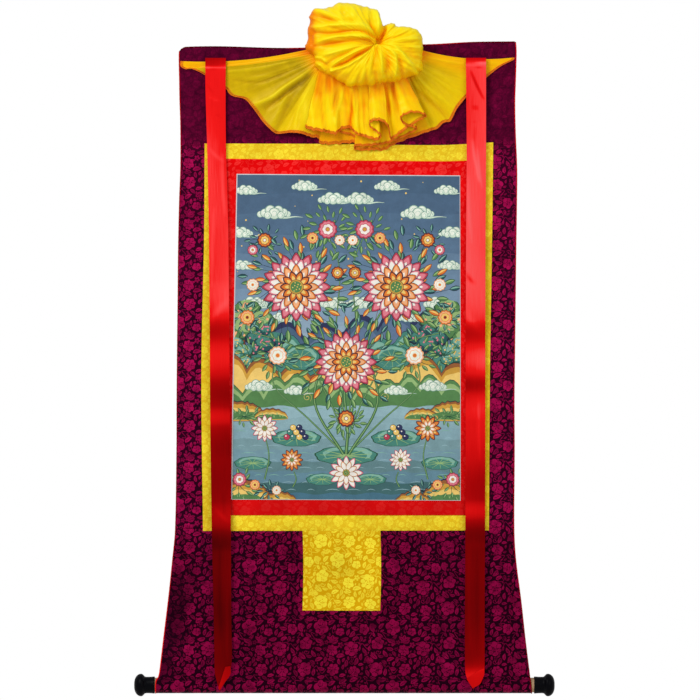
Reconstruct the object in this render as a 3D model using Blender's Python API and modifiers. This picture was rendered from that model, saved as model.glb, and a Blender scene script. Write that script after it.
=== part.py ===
"""A scroll painting on brocade, with a silk veil gathered at its top, two ribbons and a roller.

Metres, +Z up. The front faces -Y and the wall is on +Y. The origin is the middle of the top edge.
"""

import math

import bmesh
import bpy
from mathutils import Vector

# Cloth, as it is layered and sewn
BROCADE = 0.0010
SILK = 0.0010
SEWN_GAP = 0.00035
LAYER = BROCADE + SEWN_GAP
LAP = 0.008
GROUND_LAP = 0.004
HEM_DEPTH = 0.022
HEM_BEND = 0.0013
PIPING_RADIUS = 0.0012
PIPING_SLACK = 0.0006
PIPING_INSET = 2 * PIPING_RADIUS + PIPING_SLACK
PIPING_STEPS = 32

# The whole cloth: its side edges, and its top edge from left to right
SIDES = (  # height, left, right
    (0.009, -0.3095, 0.3105),
    (-0.063, -0.3090, 0.3100),
    (-0.191, -0.3085, 0.3102),
    (-0.375, -0.311, 0.309),
    (-0.560, -0.313, 0.307),
    (-0.743, -0.315, 0.307),
    (-0.891, -0.317, 0.307),
    (-0.946, -0.322, 0.309),
    (-1.019, -0.330, 0.319),
    (-1.093, -0.339, 0.328),
    (-1.148, -0.346, 0.335),
    (-1.192, -0.354, 0.341),
)
TOP_EDGE = (  # across, height
    (-0.310, -0.006),
    (-0.297, -0.001),
    (-0.234, 0.000),
    (-0.120, -0.003),
    (0.000, 0.000),
    (0.156, 0.004),
    (0.230, 0.008),
    (0.310, 0.009),
)

# The frame of strips round the painting, from the outside in
YELLOW_SIDES = (  # height, left, right
    (-0.179, -0.262, 0.269),
    (-0.350, -0.263, 0.267),
    (-0.600, -0.268, 0.263),
    (-0.892, -0.265, 0.261),
)
YELLOW_TOP = ((-0.262, -0.179), (0.000, -0.180), (0.171, -0.182), (0.269, -0.177))
YELLOW_BOTTOM = ((-0.265, -0.892), (0.261, -0.891))
RED_SIDES = (
    (-0.207, -0.234, 0.238),
    (-0.600, -0.238, 0.235),
    (-0.863, -0.236, 0.234),
)
RED_TOP = ((-0.234, -0.207), (0.171, -0.212), (0.238, -0.210))
RED_BOTTOM = ((-0.236, -0.863), (0.234, -0.863))
PAINTING_SIDES = (
    (-0.235, -0.203, 0.208),
    (-0.596, -0.210, 0.209),
    (-0.835, -0.213, 0.209),
)
PAINTING_TOP = ((-0.203, -0.235), (0.208, -0.238))
PAINTING_BOTTOM = ((-0.213, -0.834), (0.209, -0.836))

# How the cloth hangs: the height of each wave or curl, and where it begins
BILLOW = 0.0011
WAVE = 0.0028
BROAD_WAVE = 0.0012
LEFT_CURL = 0.012
RIGHT_CURL = 0.007
CURL_FROM, CURL_WIDTH = 0.255, 0.083
FLUTTER = 0.0022
FLUTTER_FROM = 0.272
LOOSE_BELOW, TAUT_BELOW = -0.90, -1.150

# The patch below the frame
DOOR_LEFT, DOOR_RIGHT = -0.082, 0.064
DOOR_BOTTOM = -1.040

# The roller and its knobs
ROLLER_RADIUS = 0.0135
ROLLER_HEIGHT = -1.1763
ROLLER_LEFT, ROLLER_RIGHT = -0.364, 0.352
SLEEVE_SLACK = 0.0006
SLEEVE_RADIUS = ROLLER_RADIUS + SLEEVE_SLACK + BROCADE / 2
ROLLER_DEPTH = SLEEVE_RADIUS
KNOB_STEPS = 24
KNOB_SOCKET = 0.010
KNOB_PROFILE = (  # from the mouth of the socket, radius
    (0.0000, 0.0155),
    (0.0030, 0.0163),
    (0.0060, 0.0150),
    (0.0165, 0.0147),
    (0.0185, 0.0172),
    (0.0200, 0.0200),
    (0.0230, 0.0207),
    (0.0290, 0.0203),
    (0.0310, 0.0180),
    (0.0325, 0.0172),
    (0.0350, 0.0150),
    (0.0372, 0.0095),
)
KNOB_LENGTH = 0.0380

# The ribbons: each hangs from a folded head, clear of the cloth, down to a pointed end
RIBBON_TOP = -0.022
RIBBON_TUCK = 0.014
RIBBON_BEND = 0.0013
RIBBON_ROWS = 36
LEFT_RIBBON = (  # height, left, right, how far forward
    (-0.022, -0.2594, -0.2208, 0.0091),
    (-0.080, -0.2588, -0.2214, 0.0095),
    (-0.180, -0.2574, -0.2226, 0.0088),
    (-0.330, -0.2540, -0.2186, 0.0125),
    (-0.530, -0.2524, -0.2164, 0.0086),
    (-0.660, -0.2516, -0.2152, 0.0092),
    (-0.820, -0.2498, -0.2136, 0.0135),
    (-0.960, -0.2472, -0.2130, 0.0110),
    (-1.060, -0.2450, -0.2126, 0.0080),
    (-1.139, -0.2436, -0.2125, 0.0085),
    (-1.153, -0.2430, -0.2195, 0.0105),
    (-1.185, -0.2348, -0.2338, 0.0130),
)
RIGHT_RIBBON = (
    (-0.022, 0.2208, 0.2594, 0.0113),
    (-0.080, 0.2206, 0.2584, 0.0108),
    (-0.200, 0.2200, 0.2556, 0.0088),
    (-0.370, 0.2190, 0.2546, 0.0120),
    (-0.560, 0.2182, 0.2543, 0.0086),
    (-0.700, 0.2180, 0.2542, 0.0092),
    (-0.860, 0.2176, 0.2540, 0.0130),
    (-0.980, 0.2170, 0.2534, 0.0105),
    (-1.075, 0.2166, 0.2530, 0.0080),
    (-1.146, 0.2172, 0.2528, 0.0085),
    (-1.160, 0.2196, 0.2510, 0.0105),
    (-1.181, 0.2306, 0.2326, 0.0130),
)

# The veil: a puff round the pinch that gathers it, and a fan of folds that falls from under the puff
PINCH_ACROSS, PINCH_HEIGHT = 0.053, 0.001
PUFF_MIDDLE = 0.024
PUFF_BACK = 0.016
PINCH_DIP, PINCH_WIDTH = 0.55, 0.34
PUFF_SEGMENTS, PUFF_RINGS = 66, 13
PUFF_REACH = (  # angle from +X, reach from the pinch, bulge to the front
    (-180.0, 0.132, 0.038),
    (-166.0, 0.116, 0.036),
    (-153.0, 0.113, 0.036),
    (-130.0, 0.094, 0.040),
    (-112.0, 0.086, 0.044),
    (-95.0, 0.078, 0.046),
    (-78.0, 0.070, 0.046),
    (-49.0, 0.086, 0.044),
    (-28.0, 0.093, 0.040),
    (-7.0, 0.085, 0.038),
    (15.0, 0.080, 0.036),
    (25.0, 0.072, 0.034),
    (45.0, 0.051, 0.032),
    (62.0, 0.046, 0.030),
    (78.0, 0.044, 0.028),
    (90.0, 0.060, 0.032),
    (105.0, 0.069, 0.038),
    (121.0, 0.089, 0.044),
    (141.0, 0.114, 0.046),
    (151.0, 0.130, 0.044),
    (158.0, 0.132, 0.042),
    (170.0, 0.128, 0.040),
    (180.0, 0.132, 0.038),
)
PUFF_PLEATS = (  # angle of a crease between two pleats, its depth as a share of the bulge, its width in degrees
    (-172.0, 0.22, 5.0),
    (-153.0, 0.42, 7.0),
    (-133.0, 0.16, 5.0),
    (-112.0, 0.26, 6.0),
    (-92.0, 0.16, 4.5),
    (-73.0, 0.34, 6.0),
    (-52.0, 0.16, 4.5),
    (-33.0, 0.42, 7.0),
    (-12.0, 0.16, 5.0),
    (12.0, 0.26, 6.0),
    (38.0, 0.20, 6.0),
    (58.0, 0.16, 5.0),
    (79.0, 0.60, 8.0),
    (101.0, 0.18, 5.0),
    (121.0, 0.26, 6.0),
    (139.0, 0.16, 4.5),
    (155.0, 0.30, 6.0),
    (170.0, 0.18, 4.5),
)
GATHER_SHARE = 0.90
VEIL_STAND = 0.026
VEIL_CLEAR = 0.0030
VEIL_ROWS = 9
VEIL_FOLD_STEPS = 2
VEIL_FOLDS = (  # angle at the gather, hem across, hem height, lift at the hem, sag along the fold
    (180.0, -0.3045, -0.0265, -0.0016, 0.0105),
    (184.0, -0.3040, -0.0300, -0.0016, 0.0095),
    (187.0, -0.2830, -0.0440, 0.0008, 0.0070),
    (190.0, -0.2630, -0.0520, 0.0000, 0.0050),
    (193.0, -0.2210, -0.0820, 0.0012, 0.0030),
    (196.0, -0.1970, -0.0950, 0.0010, 0.0020),
    (199.0, -0.1820, -0.0990, 0.0070, 0.0010),
    (202.0, -0.1670, -0.1210, 0.0030, 0.0000),
    (205.0, -0.1500, -0.1450, 0.0100, 0.0000),
    (209.0, -0.1320, -0.1590, 0.0040, 0.0000),
    (214.0, -0.1090, -0.1600, 0.0130, 0.0000),
    (220.0, -0.0880, -0.1610, 0.0070, 0.0000),
    (227.0, -0.0700, -0.1660, 0.0190, 0.0000),
    (234.0, -0.0530, -0.1730, 0.0090, 0.0000),
    (241.0, -0.0350, -0.1650, 0.0220, 0.0000),
    (248.0, -0.0170, -0.1670, 0.0100, 0.0000),
    (255.0, -0.0010, -0.1560, 0.0220, 0.0000),
    (262.0, 0.0120, -0.1640, 0.0090, 0.0000),
    (269.0, 0.0290, -0.1780, 0.0240, 0.0000),
    (276.0, 0.0480, -0.1900, 0.0100, 0.0000),
    (283.0, 0.0680, -0.1890, 0.0260, 0.0000),
    (290.0, 0.0880, -0.1840, 0.0110, 0.0000),
    (297.0, 0.1080, -0.1750, 0.0240, 0.0000),
    (304.0, 0.1290, -0.1690, 0.0080, 0.0000),
    (311.0, 0.1490, -0.1600, 0.0150, 0.0000),
    (318.0, 0.1670, -0.1520, 0.0030, 0.0000),
    (325.0, 0.1820, -0.1430, 0.0080, 0.0000),
    (332.0, 0.1960, -0.1250, 0.0010, 0.0000),
    (338.0, 0.2130, -0.1010, 0.0022, 0.0010),
    (344.0, 0.2450, -0.0680, 0.0004, 0.0040),
    (349.0, 0.2850, -0.0370, 0.0004, 0.0080),
    (354.0, 0.3060, -0.0215, -0.0016, 0.0085),
)


def smooth(rows, at, column=1):
    """The value of a table's column, on a smooth curve through its rows. The first column runs evenly up or down."""
    if rows[0][0] > rows[-1][0]:
        rows = rows[::-1]
    at = min(max(at, rows[0][0]), rows[-1][0])
    last = len(rows) - 2
    k = 0
    while k < last and rows[k + 1][0] < at:
        k += 1
    start, end = rows[k], rows[k + 1]
    span = end[0] - start[0]
    before = rows[max(k - 1, 0)]
    after = rows[min(k + 2, len(rows) - 1)]
    slope_in = (end[column] - before[column]) / (end[0] - before[0]) * span
    slope_out = (after[column] - start[column]) / (after[0] - start[0]) * span
    u = (at - start[0]) / span
    bend_in = u * (1 - u) ** 2 * slope_in
    bend_out = u * u * (u - 1) * slope_out
    ease = u * u * (3 - 2 * u)
    return start[column] + ease * (end[column] - start[column]) + bend_in + bend_out


def left_of(rows):
    return lambda height: smooth(rows, height, 1)


def right_of(rows):
    return lambda height: smooth(rows, height, 2)


def along(rows):
    return lambda across: smooth(rows, across, 1)


def ease(u):
    u = min(max(u, 0.0), 1.0)
    return u * u * (3 - 2 * u)


def relief(x, z):
    """How far the hanging cloth stands from its plane: a shallow billow, looser near the roller and at the sides."""
    free = ease((z - TAUT_BELOW) / 0.15)
    billow = BILLOW * math.sin(5.2 * x + 0.7) * math.sin(3.1 * z)
    loose = ease((LOOSE_BELOW - z) / 0.10) * ease((z - TAUT_BELOW) / 0.07)
    waves = WAVE * math.sin(26.0 * x + 3.0 * z) + BROAD_WAVE * math.sin(11.0 * x - 1.0)
    left_curl = LEFT_CURL * ease((-CURL_FROM - x) / CURL_WIDTH) ** 2
    right_curl = RIGHT_CURL * ease((x - CURL_FROM) / CURL_WIDTH) ** 2
    beside_frame = ease((-0.10 - z) / 0.3) * ease((z + 0.92) / 0.3)
    flutter = FLUTTER * math.sin(9.0 * z + 0.6) * ease((abs(x) - FLUTTER_FROM) / 0.04)
    return billow * free + loose * (waves + left_curl + right_curl) + flutter * beside_frame


def material(name, colour, roughness, metallic=0.0):
    finish = bpy.data.materials.new(name)
    finish.use_nodes = True
    shader = finish.node_tree.nodes["Principled BSDF"]
    shader.inputs["Base Color"].default_value = (*colour, 1.0)
    shader.inputs["Roughness"].default_value = roughness
    shader.inputs["Metallic"].default_value = metallic
    return finish


def add_mesh(name, bm, finish, collection):
    mesh = bpy.data.meshes.new(name)
    bm.to_mesh(mesh)
    bm.free()
    mesh.materials.append(finish)
    piece = bpy.data.objects.new(name, mesh)
    collection.objects.link(piece)
    return piece


def cloth(name, columns, rows, place, finish, collection, thickness=BROCADE):
    """A sheet of cloth: a grid whose points go where place(share across, share down) says, made as thick as it is."""
    bm = bmesh.new()
    bmesh.ops.create_grid(bm, x_segments=columns, y_segments=rows, size=0.5)
    for point in bm.verts:
        point.co = place(point.co.x + 0.5, 0.5 - point.co.y)
    sheet = add_mesh(name, bm, finish, collection)
    thick = sheet.modifiers.new("Thickness", "SOLIDIFY")
    thick.thickness = thickness
    thick.offset = 0.0
    return sheet


def between(left, right, top, bottom, layer):
    """Places a flat piece's points between its four edges, on the hanging cloth and so many layers in front of it."""

    def place(u, v):
        middle = (top(0.0) + bottom(0.0)) / 2
        guess = left(middle) + (right(middle) - left(middle)) * u
        z = top(guess) + (bottom(guess) - top(guess)) * v
        x = left(z) + (right(z) - left(z)) * u
        return Vector((x, relief(x, z) - layer * LAYER, z))

    return place


def cloth_left(height):
    return smooth(SIDES, height, 1) + PIPING_INSET


def cloth_right(height):
    return smooth(SIDES, height, 2) - PIPING_INSET


def top_seam(across):
    return smooth(YELLOW_TOP, across) - GROUND_LAP


def bottom_seam(across):
    return smooth(YELLOW_BOTTOM, across) + GROUND_LAP


def add_top_panel(finish, collection):
    """The panel above the frame. Its upper edge is turned over to the back as a hem."""
    back_rows, bend_rows, front_rows = 2, 4, 7
    rows = back_rows + bend_rows + front_rows
    full_turn = math.pi / bend_rows

    def place(u, v):
        row = round(v * rows)
        x = cloth_left(0.0) + (cloth_right(0.0) - cloth_left(0.0)) * u
        fold = smooth(TOP_EDGE, x) - PIPING_INSET - BROCADE / 2 - HEM_BEND
        if row < back_rows:
            share = 1 - row / back_rows
            y, z = 2 * HEM_BEND, fold - HEM_DEPTH * share
        elif row < back_rows + bend_rows:
            turn = (row - back_rows) * full_turn
            y, z = HEM_BEND * (1 + math.cos(turn)), fold + HEM_BEND * math.sin(turn)
        else:
            share = (row - back_rows - bend_rows) / front_rows
            y, z = 0.0, fold + (top_seam(x) - fold) * share
        x = cloth_left(z) + (cloth_right(z) - cloth_left(z)) * u
        return Vector((x, relief(x, z) + y, z))

    cloth("ground_top", 20, rows, place, finish, collection)


def sleeve_section():
    """The way round the roller, from its front, as (from the axis, above the axis) in sleeve radii."""
    below = [math.radians(180 + 20 * k) for k in range(1, 12)]
    section = [(math.cos(turn), math.sin(turn)) for turn in below]
    sewn = -1.0 + 1.05 * LAYER / SLEEVE_RADIUS
    return section + [(-0.10, 1.34), (sewn + 0.04, 1.84), (sewn, 2.30)]


def add_bottom_panel(finish, collection):
    """The panel below the frame. Its lower end goes round the roller and is sewn to its own back."""
    front_rows = 13
    section = sleeve_section()
    rows = front_rows + len(section)

    def place(u, v):
        row = round(v * rows)
        guess = (u - 0.5) * 0.6
        if row <= front_rows:
            share = row / front_rows
            y, z = 0.0, bottom_seam(guess) + (ROLLER_HEIGHT - bottom_seam(guess)) * share
        else:
            out, up = section[row - front_rows - 1]
            y = ROLLER_DEPTH + SLEEVE_RADIUS * out
            z = ROLLER_HEIGHT + SLEEVE_RADIUS * up
        x = cloth_left(z) + (cloth_right(z) - cloth_left(z)) * u
        return Vector((x, relief(x, z) + y, z))

    cloth("ground_bottom", 20, rows, place, finish, collection)


def add_side_panels(finish, collection):
    """The panels beside the frame. They run under the yellow strips, where they are sewn."""

    def upper(across):
        return top_seam(across) - SEWN_GAP

    def lower(across):
        return bottom_seam(across) + SEWN_GAP

    def inner_left(height):
        return smooth(YELLOW_SIDES, height, 1) + LAP

    def inner_right(height):
        return smooth(YELLOW_SIDES, height, 2) - LAP

    cloth("ground_left", 4, 22, between(cloth_left, inner_left, upper, lower, 0), finish, collection)
    cloth("ground_right", 4, 22, between(inner_right, cloth_right, upper, lower, 0), finish, collection)


def add_strips(name, outer, inner, layer, finish, collection):
    """Four strips from an outer outline to an inner one. They go on under the piece inside them by the lap."""
    outer_sides, outer_top, outer_bottom = outer
    inner_sides, inner_top, inner_bottom = inner
    left, right = left_of(outer_sides), right_of(outer_sides)
    top, bottom = along(outer_top), along(outer_bottom)

    def under_top(across):
        return smooth(inner_top, across) - LAP

    def under_bottom(across):
        return smooth(inner_bottom, across) + LAP

    def under_left(height):
        return smooth(inner_sides, height, 1) + LAP

    def under_right(height):
        return smooth(inner_sides, height, 2) - LAP

    def side_top(across):
        return under_top(across) - SEWN_GAP

    def side_bottom(across):
        return under_bottom(across) + SEWN_GAP

    edges = {
        "top": (left, right, top, under_top, 18, 1),
        "bottom": (left, right, under_bottom, bottom, 18, 1),
        "left": (left, under_left, side_top, side_bottom, 1, 18),
        "right": (under_right, right, side_top, side_bottom, 1, 18),
    }
    for side, (a, b, c, d, columns, rows) in edges.items():
        cloth(f"{name}_{side}", columns, rows, between(a, b, c, d, layer), finish, collection)


def add_piping(name, route, finish, collection):
    """A thin covered cord sewn along an edge of the cloth."""
    curve = bpy.data.curves.new(name, "CURVE")
    curve.dimensions = "3D"
    curve.bevel_depth = PIPING_RADIUS
    curve.bevel_resolution = 1
    curve.use_fill_caps = True
    spline = curve.splines.new("POLY")
    spline.points.add(len(route) - 1)
    for point, (x, z) in zip(spline.points, route):
        point.co = (x, relief(x, z), z, 1.0)
    curve.materials.append(finish)
    collection.objects.link(bpy.data.objects.new(name, curve))


def add_pipings(finish, collection):
    steps = PIPING_STEPS
    lowest = ROLLER_HEIGHT + 1.9 * SLEEVE_RADIUS
    inside_top = PIPING_INSET + PIPING_RADIUS
    for name, column, inward in (("piping_left", 1, 1), ("piping_right", 2, -1)):
        corner = smooth(SIDES, 0.0, column) + inward * PIPING_RADIUS
        start = smooth(TOP_EDGE, corner) - inside_top
        heights = [start + (lowest - start) * k / steps for k in range(steps + 1)]
        route = [(smooth(SIDES, z, column) + inward * PIPING_RADIUS, z) for z in heights]
        add_piping(name, route, finish, collection)
    left, right = smooth(SIDES, 0.0, 1), smooth(SIDES, 0.0, 2)
    across = [left + (right - left) * k / steps for k in range(steps + 1)]
    add_piping("piping_top", [(x, smooth(TOP_EDGE, x) - PIPING_RADIUS) for x in across], finish, collection)


def add_ribbon(name, rows, finish, collection):
    """A ribbon that is folded over at its head and hangs down to its point."""
    back_rows, bend_rows = 2, 4
    front_rows = RIBBON_ROWS - back_rows - bend_rows
    lowest = rows[-1][0]

    def place(u, v):
        row = round(v * RIBBON_ROWS)
        fold = RIBBON_TOP - RIBBON_BEND
        forward = smooth(rows, fold, 3)
        if row < back_rows:
            z = fold - RIBBON_TUCK * (1 - row / back_rows)
            y = 2 * RIBBON_BEND - forward
        elif row < back_rows + bend_rows:
            turn = (row - back_rows) * math.pi / bend_rows
            z = fold + RIBBON_BEND * math.sin(turn)
            y = RIBBON_BEND * (1 + math.cos(turn)) - forward
        else:
            z = fold + (lowest - fold) * (row - back_rows - bend_rows) / front_rows
            y = -smooth(rows, z, 3)
        left, right = smooth(rows, z, 1), smooth(rows, z, 2)
        return Vector((left + (right - left) * u, y, z))

    cloth(name, 3, RIBBON_ROWS, place, finish, collection, SILK)


def puff_crease(angle):
    """How deep the puff is creased at an angle in degrees, as a share of its bulge."""

    def at_crease(middle, depth, width):
        away = (angle - middle + 180) % 360 - 180
        return depth * math.exp(-((away / width) ** 2))

    return max(at_crease(*row) for row in PUFF_PLEATS)


def puff_point(turn, tilt):
    """A point of the puff: turn goes round the pinch, and tilt from its front, 0, to its back, pi."""
    degrees = (math.degrees(turn) + 180) % 360 - 180
    reach, bulge = smooth(PUFF_REACH, degrees, 1), smooth(PUFF_REACH, degrees, 2)
    out = math.sin(tilt) ** 0.75
    crease = puff_crease(degrees) * math.sin(tilt) ** 0.5
    if math.cos(tilt) > 0:
        dimple = PINCH_DIP * math.exp(-((out / PINCH_WIDTH) ** 2))
        forward = PUFF_MIDDLE + bulge * math.cos(tilt) ** 0.7 * (1 - dimple) * (1 - crease)
    else:
        forward = PUFF_MIDDLE + PUFF_BACK * math.cos(tilt)
    span = reach * out * (1 - 0.25 * crease * out)
    return Vector((PINCH_ACROSS + span * math.cos(turn), -forward, PINCH_HEIGHT + span * math.sin(turn)))


def fold_point(fold, share):
    """A point on a fold line of the veil, from the gather, 0, to the hem, 1. fold counts the table's rows."""
    rows = [(number, *row) for number, row in enumerate(VEIL_FOLDS)]
    angle, across, height, lift, sag = (smooth(rows, fold, column) for column in range(1, 6))
    turn = math.radians(angle)
    reach = GATHER_SHARE * smooth(PUFF_REACH, (angle + 180) % 360 - 180)
    start_x = PINCH_ACROSS + reach * math.cos(turn)
    start_z = PINCH_HEIGHT + reach * math.sin(turn)
    x = start_x + (across - start_x) * share
    z = start_z + (height - start_z) * share - 4 * sag * share * (1 - share)
    forward = VEIL_CLEAR + VEIL_STAND * (1 - share) ** 2.2 + lift * share**0.8
    return Vector((x, -forward, z))


def add_veil(finish, collection, helpers):
    """The veil is one square of silk: a puff gathered over the top edge, and its skirt and wings."""
    fold_count = len(VEIL_FOLDS) - 1

    def place(u, v):
        return fold_point(u * fold_count, v)

    fan = cloth("veil_fan", fold_count * VEIL_FOLD_STEPS, VEIL_ROWS, place, finish, helpers, SILK)
    fan.hide_render = True
    fan.display_type = "WIRE"

    bm = bmesh.new()
    bmesh.ops.create_uvsphere(bm, u_segments=PUFF_SEGMENTS, v_segments=PUFF_RINGS, radius=1.0)
    for point in bm.verts:
        turn = math.atan2(point.co.y, point.co.x)
        point.co = puff_point(turn, math.acos(max(-1.0, min(1.0, point.co.z))))
    bmesh.ops.recalc_face_normals(bm, faces=bm.faces)
    veil = add_mesh("veil", bm, finish, collection)
    join = veil.modifiers.new("Skirt and wings", "BOOLEAN")
    join.operation = "UNION"
    join.solver = "EXACT"
    join.object = fan


def add_roller(wood, lacquer, collection):
    """A round wooden roller, with a turned knob glued on each end."""
    length = ROLLER_RIGHT - ROLLER_LEFT
    bm = bmesh.new()
    bmesh.ops.create_cone(
        bm, cap_ends=True, segments=KNOB_STEPS, radius1=ROLLER_RADIUS, radius2=ROLLER_RADIUS, depth=length
    )
    rod = add_mesh("roller", bm, wood, collection)
    rod.rotation_euler = (0.0, math.radians(90), 0.0)
    rod.location = ((ROLLER_LEFT + ROLLER_RIGHT) / 2, ROLLER_DEPTH, ROLLER_HEIGHT)

    bore = ROLLER_RADIUS + SEWN_GAP
    outline = [(0.0, KNOB_LENGTH)]
    outline += [(radius, out) for out, radius in reversed(KNOB_PROFILE)]
    outline += [(bore, 0.0), (bore, KNOB_SOCKET + SEWN_GAP), (0.0, KNOB_SOCKET + SEWN_GAP)]
    for name, end, tilt in (("knob_left", ROLLER_LEFT, -90), ("knob_right", ROLLER_RIGHT, 90)):
        bm = bmesh.new()
        points = [bm.verts.new((radius, 0.0, out)) for radius, out in outline]
        for start, finish in zip(points, points[1:]):
            bm.edges.new((start, finish))
        knob = add_mesh(name, bm, lacquer, collection)
        turned = knob.modifiers.new("Turned", "SCREW")
        turned.steps = KNOB_STEPS
        turned.render_steps = KNOB_STEPS
        turned.use_merge_vertices = True
        turned.merge_threshold = 0.00001
        mouth = end + math.copysign(KNOB_SOCKET, -tilt)
        knob.rotation_euler = (0.0, math.radians(tilt), 0.0)
        knob.location = (mouth, ROLLER_DEPTH, ROLLER_HEIGHT)


def build():
    for old in list(bpy.data.objects):
        bpy.data.objects.remove(old, do_unlink=True)
    pieces = bpy.data.collections.new("Scroll painting")
    helpers = bpy.data.collections.new("Helpers")
    bpy.context.scene.collection.children.link(pieces)
    bpy.context.scene.collection.children.link(helpers)

    purple = material("purple brocade", (0.07, 0.003, 0.03), 0.55)
    yellow = material("yellow brocade", (0.90, 0.62, 0.03), 0.45)
    red = material("red brocade", (0.75, 0.004, 0.008), 0.50)
    canvas = material("painted canvas", (0.11, 0.20, 0.24), 0.60)
    satin = material("red satin", (0.85, 0.01, 0.01), 0.35)
    silk = material("yellow silk", (1.00, 0.66, 0.01), 0.35)
    wood = material("pale wood", (0.62, 0.42, 0.24), 0.60)
    lacquer = material("black lacquer", (0.010, 0.009, 0.009), 0.30)

    yellow_outline = (YELLOW_SIDES, YELLOW_TOP, YELLOW_BOTTOM)
    red_outline = (RED_SIDES, RED_TOP, RED_BOTTOM)
    painting_outline = (PAINTING_SIDES, PAINTING_TOP, PAINTING_BOTTOM)

    add_top_panel(purple, pieces)
    add_side_panels(purple, pieces)
    add_bottom_panel(purple, pieces)
    add_pipings(satin, pieces)
    add_strips("yellow", yellow_outline, red_outline, 1, yellow, pieces)
    add_strips("red", red_outline, painting_outline, 2, red, pieces)
    canvas_edges = (
        left_of(PAINTING_SIDES),
        right_of(PAINTING_SIDES),
        along(PAINTING_TOP),
        along(PAINTING_BOTTOM),
    )
    cloth("painting", 8, 14, between(*canvas_edges, 3), canvas, pieces)

    def door_top(across):
        return smooth(YELLOW_BOTTOM, across) - SEWN_GAP

    door_edges = (lambda height: DOOR_LEFT, lambda height: DOOR_RIGHT, door_top, lambda across: DOOR_BOTTOM)
    cloth("door", 6, 6, between(*door_edges, 1), yellow, pieces)
    add_ribbon("ribbon_left", LEFT_RIBBON, satin, pieces)
    add_ribbon("ribbon_right", RIGHT_RIBBON, satin, pieces)
    add_veil(silk, pieces, helpers)
    add_roller(wood, lacquer, pieces)


build()
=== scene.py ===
import math

import bmesh
import bpy
import numpy as np
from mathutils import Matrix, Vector
from mathutils.bvhtree import BVHTree
from mathutils.geometry import delaunay_2d_cdt


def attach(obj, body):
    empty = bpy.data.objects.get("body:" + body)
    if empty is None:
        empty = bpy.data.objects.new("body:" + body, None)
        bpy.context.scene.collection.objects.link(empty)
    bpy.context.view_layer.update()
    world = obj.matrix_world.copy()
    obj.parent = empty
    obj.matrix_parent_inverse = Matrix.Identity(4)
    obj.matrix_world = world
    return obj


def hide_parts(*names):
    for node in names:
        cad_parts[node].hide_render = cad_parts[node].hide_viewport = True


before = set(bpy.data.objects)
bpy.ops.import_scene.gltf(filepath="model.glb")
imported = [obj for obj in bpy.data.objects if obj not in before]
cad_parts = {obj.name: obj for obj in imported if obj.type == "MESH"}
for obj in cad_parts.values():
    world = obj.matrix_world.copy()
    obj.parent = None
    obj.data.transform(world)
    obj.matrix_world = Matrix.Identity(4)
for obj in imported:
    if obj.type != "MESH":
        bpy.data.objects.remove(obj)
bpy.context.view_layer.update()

# Ground cloth. Four panels of dark purple silk damask, woven with crimson blossoms, leaves and vines, carry
# everything else. The upper edge is turned to the back as a hem, the panels beside the frame are sewn under its
# strips, and the flared panel below goes round the roller and is sewn to its own back.
BROCADE = 0.0010
SEWN_GAP = 0.00035
LAYER = BROCADE + SEWN_GAP
LAP = 0.008
GROUND_LAP = 0.004
HEM_DEPTH = 0.022
HEM_BEND = 0.0013
PIPING_RADIUS = 0.0011
PIPING_INSET = PIPING_RADIUS
SIDES = (  # height, left, right
    (0.009, -0.3080, 0.3112),
    (-0.008, -0.3095, 0.3122),
    (-0.026, -0.3098, 0.3120),
    (-0.063, -0.3090, 0.3109),
    (-0.099, -0.3084, 0.3097),
    (-0.136, -0.3071, 0.3100),
    (-0.173, -0.3066, 0.3112),
    (-0.210, -0.3066, 0.3128),
    (-0.238, -0.3072, 0.3134),
    (-0.283, -0.3090, 0.3129),
    (-0.375, -0.3110, 0.3116),
    (-0.467, -0.3119, 0.3105),
    (-0.560, -0.3130, 0.3095),
    (-0.651, -0.3138, 0.3084),
    (-0.743, -0.3140, 0.3087),
    (-0.891, -0.3166, 0.3081),
    (-0.946, -0.3220, 0.3114),
    (-1.019, -0.3300, 0.3208),
    (-1.093, -0.3390, 0.3290),
    (-1.148, -0.3452, 0.3357),
    (-1.160, -0.3476, 0.3372),
    (-1.168, -0.3525, 0.3388),
    (-1.192, -0.3535, 0.3412),
)
TOP_EDGE = (  # across, height
    (-0.310, -0.008),
    (-0.302, -0.003),
    (-0.297, -0.001),
    (-0.234, 0.000),
    (-0.120, -0.003),
    (0.000, 0.000),
    (0.156, 0.004),
    (0.230, 0.008),
    (0.310, 0.009),
)
YELLOW_SIDES = (  # height, left, right
    (-0.179, -0.262, 0.269),
    (-0.350, -0.263, 0.267),
    (-0.600, -0.268, 0.263),
    (-0.892, -0.265, 0.261),
)
YELLOW_TOP = ((-0.262, -0.179), (0.000, -0.180), (0.171, -0.182), (0.269, -0.177))
YELLOW_BOTTOM = ((-0.265, -0.892), (0.261, -0.891))
BILLOW = 0.0011
WAVE = 0.0028
BROAD_WAVE = 0.0012
LEFT_CURL = 0.012
RIGHT_CURL = 0.007
CURL_FROM, CURL_WIDTH = 0.255, 0.083
FLUTTER = 0.0022
FLUTTER_FROM = 0.272
LOOSE_BELOW, TAUT_BELOW = -0.90, -1.150
ROLLER_RADIUS = 0.0135
ROLLER_HEIGHT = -1.1763
SLEEVE_RADIUS = ROLLER_RADIUS + 0.0006 + BROCADE / 2
SLEEVE_SEAM = -1.1655
SIDE_TUCK = 0.0016
ROLLER_DEPTH = SLEEVE_RADIUS
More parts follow.
